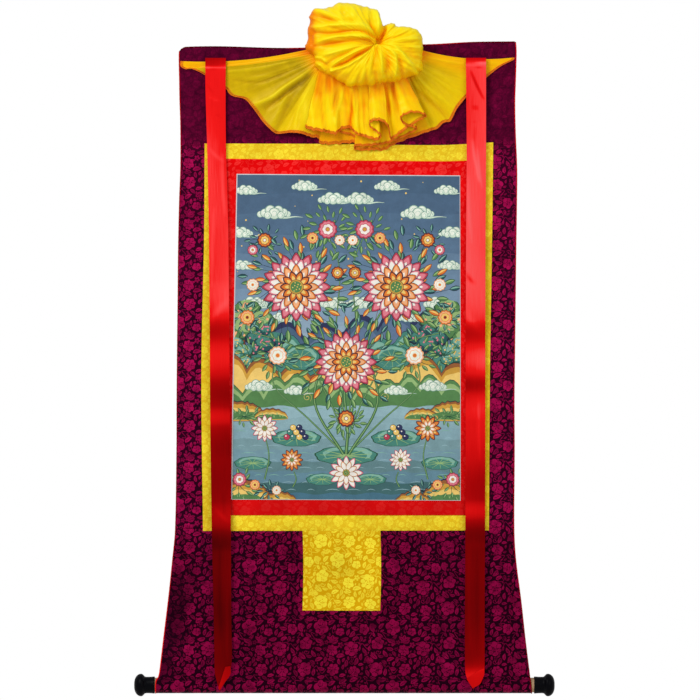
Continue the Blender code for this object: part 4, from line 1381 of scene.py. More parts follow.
# The satin's tone, from deep crimson to a pink painted highlight, carries the ribbons' painted light and shade; the
# piping's tones go through it too.
shade = put(tree, "ShaderNodeValToRGB", {"Fac": satin_tone.outputs[0]})
for k, (at, colour) in enumerate(
    (
        (0.0, (0.008, 0.0003, 0.0006)),
        (0.9, (1.0, 0.050, 0.050)),
        (0.30, (0.085, 0.0004, 0.0010)),
        (0.45, (0.205, 0.0006, 0.0012)),
        (0.60, (0.400, 0.0012, 0.0020)),
        (0.75, (0.680, 0.0040, 0.0045)),
        (0.84, (0.880, 0.0100, 0.0100)),
        (1.0, (1.0, 0.120, 0.125)),
    )
):
    stop = shade.color_ramp.elements[k] if k < 2 else shade.color_ramp.elements.new(at)
    if k < 2:
        stop.position = at
    stop.color = (*colour, 1.0)
tree.links.new(shade.outputs["Color"], shader.inputs["Base Color"])
ribs = put(tree, "ShaderNodeBump", {"Height": weft.outputs["Fac"], "Strength": 0.22, "Distance": 0.0002})
tree.links.new(ribs.outputs["Normal"], shader.inputs["Normal"])


def add_inputs(tree, **sizes):
    """Names the sizes that a tree takes, and gives each its value. The tree also takes and gives a shape."""
    tree.interface.new_socket("Geometry", in_out="INPUT", socket_type="NodeSocketGeometry")
    for name, value in sizes.items():
        kind = "NodeSocketInt" if isinstance(value, int) else "NodeSocketFloat"
        tree.interface.new_socket(name.replace("_", " "), in_out="INPUT", socket_type=kind)
    tree.interface.new_socket("Geometry", in_out="OUTPUT", socket_type="NodeSocketGeometry")
    return tree.nodes.new("NodeGroupInput"), tree.nodes.new("NodeGroupOutput")


def worked_out(piece, tree, **sizes):
    """Runs a tree of nodes on a piece with these sizes, and leaves the result as the piece's plain mesh."""
    modifier = piece.modifiers.new(tree.name, "NODES")
    modifier.node_group = tree
    for item in tree.interface.items_tree:
        key = item.name.replace(" ", "_")
        if item.in_out == "INPUT" and key in sizes:
            modifier[item.identifier] = sizes[key]
    depsgraph = bpy.context.evaluated_depsgraph_get()
    mesh = bpy.data.meshes.new_from_object(piece.evaluated_get(depsgraph), depsgraph=depsgraph)
    piece.modifiers.clear()
    piece.data = mesh
    return piece


def route_piece(name, route, **attributes):
    """A bare line of points for a tree to follow, with what each point is told."""
    mesh = bpy.data.meshes.new(name)
    mesh.from_pydata(np.asarray(route).tolist(), [(k, k + 1) for k in range(len(route) - 1)], [])
    for key, values in attributes.items():
        layer = mesh.attributes.new(key, "FLOAT_VECTOR", "POINT")
        layer.data.foreach_set("vector", np.asarray(values, dtype=float).ravel())
    piece = bpy.data.objects.new(name, mesh)
    bpy.context.scene.collection.objects.link(piece)
    return piece


def math_node(tree, operation, first, second=0.0):
    return put(tree, "ShaderNodeMath", {0: first, 1: second}, operation=operation).outputs[0]


def piping_tree():
    """A round cord along a line, drawn in a little at each stitch."""
    tree = bpy.data.node_groups.new("piping", "GeometryNodeTree")
    sizes = {"Radius": 0.0, "Pucker": 0.0, "Stitch": 0.0, "Sides": 8}
    given, result = add_inputs(tree, **sizes)
    line = put(tree, "GeometryNodeMeshToCurve", {"Mesh": given.outputs["Geometry"]})
    fade = put(tree, "GeometryNodeInputNamedAttribute", {"Name": "fade"}, data_type="FLOAT_VECTOR")
    run = put(tree, "GeometryNodeSplineParameter").outputs["Length"]
    turns = math_node(tree, "DIVIDE", run, given.outputs["Stitch"])
    wave = math_node(tree, "SINE", math_node(tree, "MULTIPLY", turns, 2 * math.pi))
    swell = math_node(tree, "MULTIPLY", wave, given.outputs["Pucker"])
    swell = math_node(tree, "ADD", swell, 1.0)
    ring = put(tree, "GeometryNodeCurvePrimitiveCircle")
    tree.links.new(given.outputs["Sides"], ring.inputs["Resolution"])
    tree.links.new(given.outputs["Radius"], ring.inputs["Radius"])
    full = put(tree, "GeometryNodeSetCurveRadius", {"Curve": line.outputs["Curve"], "Radius": swell})
    tube = put(
        tree,
        "GeometryNodeCurveToMesh",
        {"Curve": full.outputs["Curve"], "Profile Curve": ring.outputs["Curve"], "Fill Caps": True},
    )
    if "Scale" in tube.inputs:
        tree.links.new(swell, tube.inputs["Scale"])
    tone = put(tree, "ShaderNodeSeparateXYZ", {"Vector": fade.outputs["Attribute"]}).outputs["X"]
    toned = put(
        tree,
        "GeometryNodeStoreNamedAttribute",
        {"Geometry": tube.outputs["Mesh"], "Name": "satin", "Value": tone},
        data_type="FLOAT",
        domain="POINT",
    )
    whole = put(tree, "GeometryNodeRealizeInstances", {"Geometry": toned.outputs["Geometry"]})
    smooth = put(tree, "GeometryNodeSetShadeSmooth", {"Geometry": whole.outputs["Geometry"]})
    finished = put(
        tree, "GeometryNodeSetMaterial", {"Geometry": smooth.outputs["Geometry"], "Material": satin}
    )
    tree.links.new(finished.outputs["Geometry"], result.inputs["Geometry"])
    return tree


def piping_route(side):
    """The middle of one run of piping, down a side or along the top."""
    if side == "top":
        x = np.linspace(*(float(through(SIDES, 0.0, column)) for column in (1, 2)), round(0.62 / PIPING_STEP))
        x = x[1:-1]
        z = through(TOP_EDGE, x) - PIPING_RADIUS
    else:
        column, inward = (1, 1.0) if side == "left" else (2, -1.0)
        start = float(through(TOP_EDGE, through(SIDES, 0.0, column))) - PIPING_INSET - PIPING_RADIUS
        z = np.linspace(start, PIPING_END, round((start - PIPING_END) / PIPING_STEP))
        x = through(SIDES, z, column) + inward * PIPING_RADIUS
        round_sleeve = np.linspace(PIPING_END, ROLLER_HEIGHT - 1.5 * SLEEVE_RADIUS, 18)[1:]
        beside = sleeve_side(lambda height: through(SIDES, height, column), round_sleeve) + inward * PIPING_RADIUS
        low_end = bottom_panel_place(beside, round_sleeve, np.linspace(0.5, 0.0, 17))
        return np.vstack((np.column_stack((x, relief(x, z), z)), low_end))
    return np.column_stack((x, relief(x, z), z))


PIPING_TONES = {  # place across for the top run and height for the others, tone from dark to light
    "top": ((-0.31, 0.62), (-0.305, 0.34), (-0.12, 0.30), (-0.10, 0.62), (0.20, 0.62), (0.24, 0.36), (0.31, 0.34)),
    "left": ((0.0, 0.66), (-0.20, 0.56), (-0.85, 0.46), (-0.95, 0.60), (-1.10, 0.76), (-1.20, 0.80)),
    "right": ((0.0, 0.74), (-0.20, 0.66), (-0.85, 0.60), (-0.95, 0.60), (-1.10, 0.46), (-1.20, 0.44)),
}
piping = piping_tree()
for side, fade in PIPING_TONES.items():
    route = piping_route(side)
    tones = through(fade, route[:, 0] if side == "top" else route[:, 2])
    cord = route_piece(f"piping_{side}_cord", route, fade=np.column_stack((tones, tones, tones)))
    worked_out(cord, piping, Radius=PIPING_RADIUS, Pucker=PUCKER_SHARE, Stitch=PUCKER_PITCH, Sides=PIPING_SIDES)
    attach(cord, "root")
    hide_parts(f"piping_{side}")


# Roller and knobs. A bare pale wooden rod lies in the sleeve and weighs the cloth down. On each of its ends is glued
# a turned hardwood knob, lacquered black, with a socket that takes the rod.
KNOB_SOCKET = 0.010
KNOB_LENGTH = 0.038
KNOB_TURNS = 72
KNOB_MOUTHS = {"left": -0.3542, "right": 0.3446}
KNOB_PROFILE = (  # out from the mouth, radius
    (0.0000, 0.0153),
    (0.0012, 0.0157),
    (0.0030, 0.0156),
    (0.0060, 0.0153),
    (0.0110, 0.0151),
    (0.0155, 0.0151),
    (0.0180, 0.0157),
    (0.0198, 0.0172),
    (0.0216, 0.0192),
    (0.0234, 0.0204),
    (0.0254, 0.0207),
    (0.0280, 0.0204),
    (0.0304, 0.0194),
    (0.0326, 0.0177),
    (0.0345, 0.0155),
    (0.0360, 0.0128),
    (0.0371, 0.0097),
    (0.0378, 0.0060),
)


def grain_finish(name, dark, light, roughness, stretch, gloss, bump):
    """A wood, with its grain along the roller."""
    finish, tree, shader = new_finish(name, roughness, specular_ior_level=gloss)
    where = put(tree, "ShaderNodeTexCoord").outputs["Object"]
    along = put(tree, "ShaderNodeMapping", {"Vector": where, "Scale": stretch})
    fibres = put(tree, "ShaderNodeTexNoise", {"Vector": along.outputs["Vector"], "Detail": 5.0, "Distortion": 0.6})
    tree.links.new(blended(tree, fibres.outputs["Fac"], dark, light), shader.inputs["Base Color"])
    rubbed = put(
        tree,
        "ShaderNodeMapRange",
        {"Value": fibres.outputs["Fac"], "To Min": roughness - 0.08, "To Max": roughness + 0.12},
    )
    tree.links.new(rubbed.outputs["Result"], shader.inputs["Roughness"])
    relieved = put(tree, "ShaderNodeBump", {"Height": fibres.outputs["Fac"], "Strength": bump, "Distance": 0.0003})
    tree.links.new(relieved.outputs["Normal"], shader.inputs["Normal"])
    return finish


def turned_knob(name, mouth, outward):
    """A knob turned about the roller's middle line, from the bottom of its socket round to its outer end."""
    bore = ROLLER_RADIUS + SEWN_GAP
    deep = KNOB_SOCKET + SEWN_GAP
    profile = [(deep, 0.55 * bore), (deep, bore), (0.5 * deep, bore), (0.0003, bore), (0.0, bore + 0.0003)]
    profile += smooth_route(KNOB_PROFILE, 3 * len(KNOB_PROFILE)).tolist()
    angle = np.arange(KNOB_TURNS) * 2 * math.pi / KNOB_TURNS
    points = []
    for out, radius in profile:
        ring = (np.full(KNOB_TURNS, mouth + outward * out), radius * np.cos(angle), radius * np.sin(angle))
        points += np.column_stack(ring).tolist()
    points += [(mouth + outward * deep, 0.0, 0.0), (mouth + outward * KNOB_LENGTH, 0.0, 0.0)]
    points = np.array(points) + (0.0, ROLLER_DEPTH, ROLLER_HEIGHT)
    faces = []
    rings = len(profile)
    for k in range(KNOB_TURNS):
        following = (k + 1) % KNOB_TURNS
        faces += [
            (r * KNOB_TURNS + k, r * KNOB_TURNS + following, (r + 1) * KNOB_TURNS + following, (r + 1) * KNOB_TURNS + k)
            for r in range(rings - 1)
        ]
        faces.append((rings * KNOB_TURNS, following, k))
        faces.append((rings * KNOB_TURNS + 1, (rings - 1) * KNOB_TURNS + k, (rings - 1) * KNOB_TURNS + following))
    mesh = bpy.data.meshes.new(name)
    mesh.from_pydata(points.tolist(), [], faces)
    working = bmesh.new()
    working.from_mesh(mesh)
    bmesh.ops.recalc_face_normals(working, faces=working.faces)
    working.to_mesh(mesh)
    working.free()
    mesh.shade_smooth()
    mesh.set_sharp_from_angle(angle=math.radians(60))
    piece = bpy.data.objects.new(name, mesh)
    bpy.context.scene.collection.objects.link(piece)
    return piece


pale_wood = grain_finish("pale_wood", (0.36, 0.21, 0.10), (0.62, 0.42, 0.24), 0.55, (9.0, 260.0, 260.0), 0.3, 0.3)
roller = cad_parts["roller"]
roller.data.materials.clear()
roller.data.materials.append(pale_wood)

lacquer = grain_finish(
    "black_lacquer", (0.0008, 0.0008, 0.0015), (0.0020, 0.0019, 0.0036), 0.34, (14.0, 320.0, 320.0), 0.05, 0.12
)
for side, outward in (("left", -1), ("right", 1)):
    knob = turned_knob(f"knob_{side}_turned", KNOB_MOUTHS[side], outward)
    knob.data.materials.append(lacquer)
    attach(knob, "root")
    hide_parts(f"knob_{side}")


# Veil. One cloth of thin glossy yellow silk that covers the picture when it is let down. It is bunched into a puff
# over the top edge and tied at a pinch; what is left falls from under the puff as a skirt in folds and two sheer
# wings. Its edges are overlocked with orange thread.
PINCH = (0.053, 0.001)
PUFF_MIDDLE = 0.024
PUFF_BACK = 0.016
PUFF_OUTLINE = (  # across and height, in millimetres, from the right, counter-clockwise as seen from the front
    (138.5, 1.0), (138.1, 13.9), (131.0, 24.9), (118.5, 33.1), (104.0, 33.6), (90.2, 34.4), (87.0, 40.2),
    (71.3, 39.8), (63.6, 41.4), (60.6, 49.0), (60.0, 57.9), (52.4, 64.2), (32.0, 71.3), (6.8, 78.2), (-12.1, 78.0),
    (-30.9, 71.3), (-46.7, 65.2), (-58.5, 67.0), (-70.3, 52.4), (-67.1, 46.1), (-72.6, 24.9), (-72.8, 9.2),
    (-77.5, -3.4), (-66.0, -14.0), (-58.5, -22.3), (-60.0, -38.0), (-52.0, -45.0), (-41.9, -50.4), (-23.1, -61.6),
    (-4.2, -71.0), (6.8, -74.4), (32.0, -75.0), (52.4, -72.6), (69.7, -67.6), (88.6, -66.3), (109.0, -60.8),
    (126.3, -53.7), (130.5, -47.0), (138.4, -45.0), (139.4, -30.0), (138.9, -16.0),
)
PUFF_BULGE = (  # angle from +X round the pinch, how far the puff swells to the front
    (-180.0, 0.038), (-153.0, 0.037), (-112.0, 0.043), (-78.0, 0.046), (-49.0, 0.045), (-7.0, 0.038),
    (25.0, 0.034), (62.0, 0.030), (78.0, 0.029), (105.0, 0.038), (141.0, 0.046), (158.0, 0.042), (180.0, 0.038),
)
PUFF_FOLDS = (  # lift to the front, width, and the route from its outer end to the pinch, all in millimetres
    (4.6, 4.5, (-57.7, 64.2), (-30.9, 53.2), (-4.2, 39.8)),
    (-4.5, 6.0, (-56.0, 49.0), (-30.9, 45.3), (-8.9, 39.0)),
    (4.8, 4.0, (-63.6, 31.2), (-30.9, 35.1), (16.2, 35.6), (36.7, 29.6), (52.4, 13.9)),
    (-5.5, 3.8, (-61.0, 21.7), (-27.8, 19.2), (3.7, 22.6), (32.0, 22.0), (49.0, 12.5)),
    (4.8, 3.5, (-52.0, 5.0), (-24.6, 13.9), (0.5, 16.2), (28.8, 16.2), (49.7, 8.0)),
    (-5.5, 5.0, (-57.0, -4.4), (-24.6, 1.3), (6.8, 4.4), (41.4, 6.6)),
    (4.5, 7.0, (-57.0, -17.6), (-18.4, -12.9), (16.2, -3.4)),
    (2.8, 2.5, (-57.3, -22.3), (-46.0, -26.0), (-37.2, -31.7)),
    (-2.5, 2.4, (-57.0, -29.0), (-46.0, -33.0), (-36.0, -40.0)),
    (2.8, 2.2, (-56.7, -32.0), (-47.0, -38.0), (-40.0, -46.0)),
    (4.4, 2.6, (-27.0, -39.6), (-12.1, -27.8), (16.2, -12.1), (39.8, -3.4), (52.4, 0.5)),
    (-8.5, 3.2, (-23.5, -42.2), (0.5, -32.0), (21.0, -18.6), (41.8, -7.0)),
    (4.4, 2.6, (-26.2, -45.1), (0.5, -38.8), (25.7, -23.9), (43.0, -11.3), (55.6, -2.6)),
    (3.4, 2.4, (-30.6, -42.6), (-27.6, -46.0), (-22.0, -46.4)),
    (-3.2, 4.0, (-33.9, -33.7), (-5.8, -19.2), (25.7, -6.0)),
    (2.2, 4.0, (27.2, -73.0), (30.4, -49.0), (37.1, -22.3)),
    (-1.8, 2.6, (34.0, -72.0), (36.0, -50.0), (41.0, -24.0)),
    (2.0, 3.0, (39.8, -73.0), (41.8, -49.0), (46.5, -17.6)),
    (-4.6, 4.0, (54.0, -71.0), (50.3, -41.2), (54.4, -12.0)),
    (4.4, 3.0, (69.7, -68.3), (65.0, -49.0), (63.4, -25.4), (59.5, -5.0)),
    (-6.8, 6.0, (74.4, -50.3), (76.0, -34.9), (72.9, -16.2)),
    (4.4, 3.0, (87.0, -64.6), (90.2, -41.2), (88.6, -22.3), (77.6, -9.7), (63.4, -3.4)),
    (-4.6, 4.0, (101.2, -64.6), (99.6, -41.2), (94.9, -21.9)),
    (4.8, 4.0, (126.3, -49.9), (115.3, -34.9), (101.2, -17.6), (87.0, -5.0), (69.7, -0.3)),
    (-3.4, 9.0, (136.0, -30.0), (122.0, -22.0), (104.0, -8.0)),
    (3.0, 3.0, (128.5, 11.7), (94.9, 8.4), (77.1, 3.4)),
    (-2.4, 4.0, (128.5, 19.6), (94.9, 14.4), (72.9, 8.7)),
    (1.4, 2.0, (114.5, 27.9), (98.0, 20.0), (80.0, 11.0)),
    (1.4, 2.0, (98.0, 31.6), (86.0, 22.0), (70.9, 12.4)),
    (-7.0, 3.8, (66.6, 43.5), (68.1, 26.5), (61.8, 13.9), (57.9, 3.7)),
    (5.2, 5.0, (49.7, 61.9), (57.1, 43.8), (55.6, 31.2), (55.8, 13.9)),
    (-4.4, 3.0, (39.4, 43.0), (49.8, 25.3), (54.0, 9.2)),
    (-2.4, 5.0, (-5.8, 73.3), (-5.0, 48.0), (14.0, 40.0)),
    (2.2, 4.0, (-14.9, 76.0), (-14.0, 60.0), (-8.0, 45.0)),
    (1.6, 5.0, (10.0, 74.0), (14.8, 50.0), (34.0, 36.0)),
    (-1.8, 4.0, (30.0, 68.0), (34.0, 52.0), (44.0, 36.0)),
    (-2.0, 4.0, (-64.0, 40.0), (-66.0, 12.0), (-62.0, -10.0)),
)
VEIL_HEM = (  # hem across, height and forward; the same at the gather; sag along the line, all in millimetres
    (-305.5, -27.5, 1.6, -56, -3, 20, 9.5),
    (-306.0, -36.5, 1.6, -56, -8, 20, 7.0),
    (-296.0, -42.0, 2.5, -56, -11, 20, 6.0),
    (-289.0, -40.3, 4.5, -56, -13, 20, 6.0),
    (-275.5, -45.0, 3.2, -56, -15, 20, 5.0),
    (-263.0, -51.5, 3.0, -56, -17, 20, 4.0),
    (-243.0, -64.0, 2.6, -55, -20, 20, 3.0),
    (-222.8, -77.5, 3.6, -55, -22, 20, 2.5),
    (-217.0, -86.0, 3.0, -54, -24, 20, 2.0),
    (-208.0, -92.0, 4.6, -54, -26, 20, 2.0),
    (-187.5, -97.0, 4.0, -53, -28, 20, 1.5),
    (-174.0, -111.6, 8.5, -53, -31, 20, 1.0),
    (-164.0, -125.0, 4.0, -52, -34, 20, 0.0),
    (-154.0, -139.0, 6.0, -52, -36, 20, 0.0),
    (-138.5, -154.8, 9.0, -51, -38, 21, 0.0),
    (-128.7, -160.6, 5.5, -51, -39, 21, 0.0),
    (-116.0, -159.8, 6.5, -50, -40, 21, 0.0),
    (-103.0, -158.7, 12.0, -50, -41, 22, 0.0),
    (-83.6, -160.6, 16.0, -49, -42, 22, 0.0),
    (-66.0, -166.5, 7.0, -48, -42, 16, 0.0),
    (-51.0, -169.0, 4.0, -46, -42, 14, 0.0),
    (-50.0, -178.0, 4.0, -44, -42, 14, 0.0),
    (-30.0, -180.0, 5.5, -34, -43, 14, 0.0),
    (-4.0, -178.0, 4.5, -16, -44, 14, 0.0),
    (16.0, -176.0, 5.0, 2, -46, 14, 0.0),
    (19.0, -168.0, 7.0, 2, -46, 14, 0.0),
    (-4.0, -160.0, 8.5, -18, -44, 15, 0.0),
    (-30.0, -155.0, 9.5, -36, -44, 17, 0.0),
    (-60.0, -149.0, 10.5, -46, -43, 20, 0.0),
    (-76.0, -149.0, 14.5, -50, -43, 24, 0.0),
    (-65.0, -153.8, 20.0, -47, -44, 27, 0.0),
    (-46.0, -157.0, 22.0, -40, -45, 28, 0.0),
    (-33.0, -159.5, 19.0, -34, -46, 28, 0.0),
    (-21.0, -162.0, 26.0, -27, -47, 28, 0.0),
    (-9.0, -152.4, 14.0, -18, -48, 26, 0.0),
    (7.0, -150.7, 12.5, -8, -50, 25, 0.0),
    (12.0, -157.0, 22.0, -2, -50, 28, 0.0),
    (20.0, -163.8, 27.0, 6, -52, 29, 0.0),
    (28.0, -166.0, 23.0, 14, -52, 28, 0.0),
    (37.0, -168.7, 26.0, 22, -53, 29, 0.0),
    (53.0, -173.7, 28.0, 38, -53, 30, 0.0),
    (60.0, -170.4, 29.0, 45, -53, 30, 0.0),
    (62.5, -165.6, 30.0, 47, -53, 30, 0.0),
    (53.0, -157.0, 31.5, 45, -53, 31, 0.0),
    (43.0, -150.7, 33.0, 42, -53, 31, 0.0),
    (41.5, -142.4, 35.0, 42, -53, 32, 0.0),
    (53.0, -137.4, 37.0, 50, -54, 32, 0.0),
    (68.0, -140.8, 37.0, 58, -54, 32, 0.0),
    (76.0, -150.7, 34.0, 64, -54, 31, 0.0),
    (78.0, -162.0, 26.0, 67, -54, 28, 0.0),
    (81.0, -172.0, 18.0, 71, -54, 24, 0.0),
    (92.0, -165.0, 20.0, 79, -54, 25, 0.0),
    (112.0, -150.0, 23.0, 90, -54, 26, 0.0),
    (138.0, -134.0, 25.0, 103, -55, 26, 0.0),
    (145.5, -129.5, 28.0, 107, -55, 27, 0.0),
    (140.0, -125.5, 33.0, 105, -55, 29, 0.0),
    (119.0, -122.7, 37.0, 96, -54, 31, 0.0),
    (101.0, -130.0, 36.0, 86, -54, 31, 0.0),
    (99.0, -137.4, 33.0, 84, -54, 30, 0.0),
    (108.0, -146.0, 26.0, 88, -54, 27, 0.0),
    (125.0, -151.0, 20.0, 96, -54, 22, 0.0),
    (127.0, -154.5, 15.0, 98, -54, 20, 0.0),
    (105.0, -166.0, 13.0, 88, -54, 18, 0.0),
    (83.0, -175.4, 12.0, 76, -54, 17, 0.0),
    (66.0, -180.0, 12.5, 66, -54, 16, 0.0),
    (53.0, -181.8, 12.5, 56, -54, 16, 0.0),
    (32.0, -183.4, 11.0, 42, -54, 16, 0.0),
    (15.5, -183.4, 9.5, 30, -54, 16, 0.0),
    (13.8, -187.0, 7.5, 28, -54, 15, 0.0),
    (15.5, -190.1, 5.5, 30, -54, 14, 0.0),
    (37.0, -191.2, 5.0, 44, -54, 13, 0.0),
    (50.0, -190.1, 6.5, 54, -54, 13, 0.0),
    (68.0, -190.8, 4.5, 66, -54, 13, 0.0),
    (86.0, -180.3, 5.5, 78, -54, 13, 0.0),
    (110.0, -170.4, 4.2, 92, -54, 13, 0.0),
    (148.5, -157.0, 3.6, 106, -54, 13, 0.0),
    (157.0, -154.0, 2.6, 110, -52, 12, 0.0),
    (165.6, -151.6, 5.5, 113, -48, 14, 0.0),
    (175.7, -141.7, 4.5, 115, -44, 16, 0.0),
    (183.0, -139.0, 7.5, 117, -40, 18, 0.0),
    (190.4, -136.9, 4.0, 119, -37, 19, 0.0),
    (200.4, -117.0, 7.0, 120, -34, 20, 0.0),
    (210.0, -104.0, 4.0, 121, -31, 20, 0.0),
    (220.0, -92.6, 4.5, 122, -28, 20, 0.0),
    (238.0, -73.0, 3.0, 123, -24, 20, 2.0),
    (257.0, -56.3, 2.6, 124, -20, 20, 4.0),
    (282.4, -36.6, 2.4, 125, -14, 20, 7.0),
    (305.5, -25.0, 1.7, 126, -9, 20, 9.0),
    (307.0, -20.8, 1.5, 126, -5, 20, 9.5),
)
WING_FOLDS = (  # lift, width, route, in millimetres
    (1.6, 3.0, (-222.6, -47.1), (-158.2, -41.8), (-79.1, -20.1)),
    (1.0, 2.2, (-170.0, -57.6), (-131.2, -54.1)),
    (4.5, 4.0, (-166.3, -106.7), (-138.2, -94.6), (-113.5, -75.3), (-66.5, -44.8)),
    (-3.4, 4.0, (-149.0, -114.2), (-104.9, -82.6), (-62.6, -50.6)),
    (1.8, 2.4, (-138.2, -147.2), (-122.0, -112.0), (-108.6, -85.7)),
    (-1.6, 4.0, (-126.0, -146.0), (-112.0, -115.0), (-96.0, -86.0)),
    (3.2, 9.0, (-75.0, -143.0), (-76.0, -120.0), (-78.0, -97.0)),
    (3.2, 3.0, (-97.0, -150.0), (-90.0, -118.0), (-78.4, -94.6), (-55.6, -47.1)),
    (-1.6, 3.0, (-210.0, -62.0), (-160.0, -66.0), (-110.0, -48.0)),
    (-3.0, 5.0, (185.7, -130.3), (126.4, -81.0)),
    (2.2, 3.0, (196.9, -113.9), (152.7, -81.0), (128.0, -58.0)),
    (1.4, 3.0, (214.0, -92.0), (170.0, -66.0), (136.0, -44.0)),
    (-1.4, 4.0, (212.0, -60.0), (176.0, -46.0), (142.0, -30.0)),
    (1.2, 2.4, (210.0, -33.0), (176.0, -27.0), (142.0, -20.0)),
    (1.2, 2.0, (284.0, -33.0), (262.0, -31.0)),
    (-1.2, 2.4, (-290.0, -36.0), (-268.0, -38.0)),
)
SKIRT_FOLDS = (  # lift, width, route, in millimetres
    (2.0, 3.4, (-68.0, -90.0), (-62.0, -146.0)),
    (-2.4, 2.6, (-48.0, -88.0), (-44.0, -150.0)),
    (2.4, 4.6, (-35.0, -92.0), (-31.0, -152.0)),
    (-1.8, 2.2, (-19.0, -84.0), (-27.0, -120.0)),
    (2.8, 3.0, (-6.0, -76.0), (-14.0, -110.0), (-21.0, -144.0)),
    (-4.4, 2.8, (10.0, -86.0), (8.0, -120.0), (5.5, -154.0)),
    (2.2, 2.4, (20.0, -100.0), (18.0, -150.0)),
    (-2.4, 2.4, (31.0, -88.0), (32.0, -150.0)),
    (2.2, 3.4, (49.0, -84.0), (52.0, -132.0)),
    (-2.8, 2.8, (71.0, -78.0), (79.0, -130.0)),
    (2.4, 4.0, (90.0, -68.0), (110.0, -118.0)),
    (-1.8, 2.4, (78.0, -66.0), (98.0, -124.0)),
)
SILK_THICK = 0.0004
HEM_BAND = 0.0030
TURN_STEPS, TILT_STEPS = 400, 108
HEM_STEPS, DROP_STEPS = 5, 54


def fold_lift(across, height, folds, wall=0.6):
    """How far the folds raise each point of a cloth, in metres. They fade out at both ends of their routes."""
    points = 1000 * np.column_stack((across.ravel(), height.ravel()))
    lift = np.zeros(len(points))
    for rise, width, *corners in folds:
        route = smooth_route(corners, 7 * (len(corners) - 1) + 1)
        step = np.diff(route, axis=0)
        apart = points[:, None] - route[:-1]
        share = np.clip(np.sum(apart * step, axis=2) / np.sum(step**2, axis=1), 0.0, 1.0)
        away = np.linalg.norm(apart - share[..., None] * step, axis=2)
        nearest = np.argmin(away, axis=1)
        each = np.arange(len(points))
        along = (nearest + share[each, nearest]) / len(step)
        fade = np.sin(math.pi * (0.10 + 0.80 * along)) ** wall
        lift += rise * np.exp(-((away[each, nearest] / width) ** 2)) * fade
    return lift.reshape(across.shape) / 1000


def surface_normals(grid, around=False):
    """Which way each point of a grid of points faces."""
    if around:
        first = np.roll(grid, -1, axis=0) - np.roll(grid, 1, axis=0)
    else:
        first = np.gradient(grid, axis=0)
    second = np.gradient(grid, axis=1)
    normal = np.cross(second, first)
    return normal / (np.linalg.norm(normal, axis=2)[..., None] + 1e-12)


def crumple(across, up, pitch, sort):
    """How far crumpled silk stands out, from 0 to 1: flat facets that meet in creases."""
    stands = np.zeros(np.broadcast(across, up).shape)
    for k in range(5):
        angle = sort + 2.4 * k
        along = across * math.cos(angle) + up * math.sin(angle)
        aside = up * math.cos(angle) - across * math.sin(angle)
        wave = along / pitch * (1 + 0.31 * k) + 0.35 * np.sin(1.7 * aside / pitch + sort * k)
        stands += np.abs(wave % 2 - 1) / (1 + 0.6 * k)
    return stands / 2.73


def puff_surface():
    """The puff's points, by turn round the pinch and tilt from its front to its back, and its painted shade: how far
    each is tinted towards orange, most where the silk faces down or lies in a valley, at its side or towards its back.
    """
    outline = np.array(PUFF_OUTLINE) / 1000 - PINCH
    degrees = np.degrees(np.arctan2(outline[:, 1], outline[:, 0]))
    reach = np.hypot(outline[:, 0], outline[:, 1])
    rows = sorted(zip(degrees.tolist(), reach.tolist()))
    rows = [(rows[-1][0] - 360, rows[-1][1])] + rows + [(rows[0][0] + 360, rows[0][1])]
    turn = np.linspace(-math.pi, math.pi, TURN_STEPS, endpoint=False)[:, None]
    tilt = math.pi * np.linspace(0.006, 0.994, TILT_STEPS)[None] ** 1.18
    span = through(rows, np.degrees(turn)) * np.ones_like(tilt)
    bulge = through(PUFF_BULGE, np.degrees(turn)) * np.ones_like(tilt)
    out = np.sin(tilt) ** 0.75
    front = np.cos(tilt) > 0
    rounded = bulge * np.abs(np.cos(tilt)) ** 0.7
    forward = np.where(front, PUFF_MIDDLE + rounded, PUFF_MIDDLE + PUFF_BACK * np.cos(tilt))
    x = PINCH[0] + span * out * np.cos(turn)
    z = PINCH[1] + span * out * np.sin(turn)
    dimple = 0.016 * np.exp(-(((x - 0.056) ** 2 + (z - 0.002) ** 2) / 0.021**2)) * front
    grid = np.stack((x, dimple - forward, z), axis=2)
    outward = surface_normals(grid, around=True)
    to_back = ease((tilt - 0.50 * math.pi) / (0.22 * math.pi))
    lift = fold_lift(x, z, PUFF_FOLDS) * (1 - to_back)
    near = np.exp(-((out / 0.75) ** 2))
    wrinkle = 0.00050 * np.sin(31 * turn + 4.0 * np.sin(3 * turn) + 5.0 * out) * near
    wrinkle = wrinkle + 0.00028 * np.sin(57 * turn - 7.0 * out + 2.0 * np.sin(5 * turn))
    wrinkle = wrinkle + 0.00060 * np.sin(11 * turn + 6.0 * out + 1.0) * out
    gathers = 0.0022 * np.sin(17 * turn + 2.0 * np.sin(4 * turn)) * to_back * out
    drawn = 0.055 + 0.30 * span * out
    wrinkle = wrinkle + 0.0050 * (crumple(drawn * np.cos(turn), drawn * np.sin(turn), 0.0125, 0.7) - 0.5) * ease(out / 0.5)
    wrinkle = wrinkle + 0.0022 * (crumple(x, z, 0.0110, 2.1) - 0.5) * ease((out - 0.35) / 0.4)
    grid = grid + outward * (lift + wrinkle + gathers)[..., None]
    facing = surface_normals(grid, around=True)[..., 2]
    # Painted shade: the silk is tinted deeper orange where it faces down, in its valleys and dimple, at its left side
    # and towards its back, and paler on its ridges.
    warmth_and_painted_shade = 0.37 - 0.27 * facing - 62 * (lift + 0.8 * wrinkle) + 0.20 * dimple / 0.016
    beside = ease((-0.052 - x) / 0.016)
    below = ease((-0.030 - z) / 0.035)
    warmth_and_painted_shade = np.clip(warmth_and_painted_shade + 0.55 * beside + 0.13 * ease((0.01 - x) / 0.05) - 0.02 * below + 0.3 * to_back, 0.0, 1.0)
    return grid, warmth_and_painted_shade


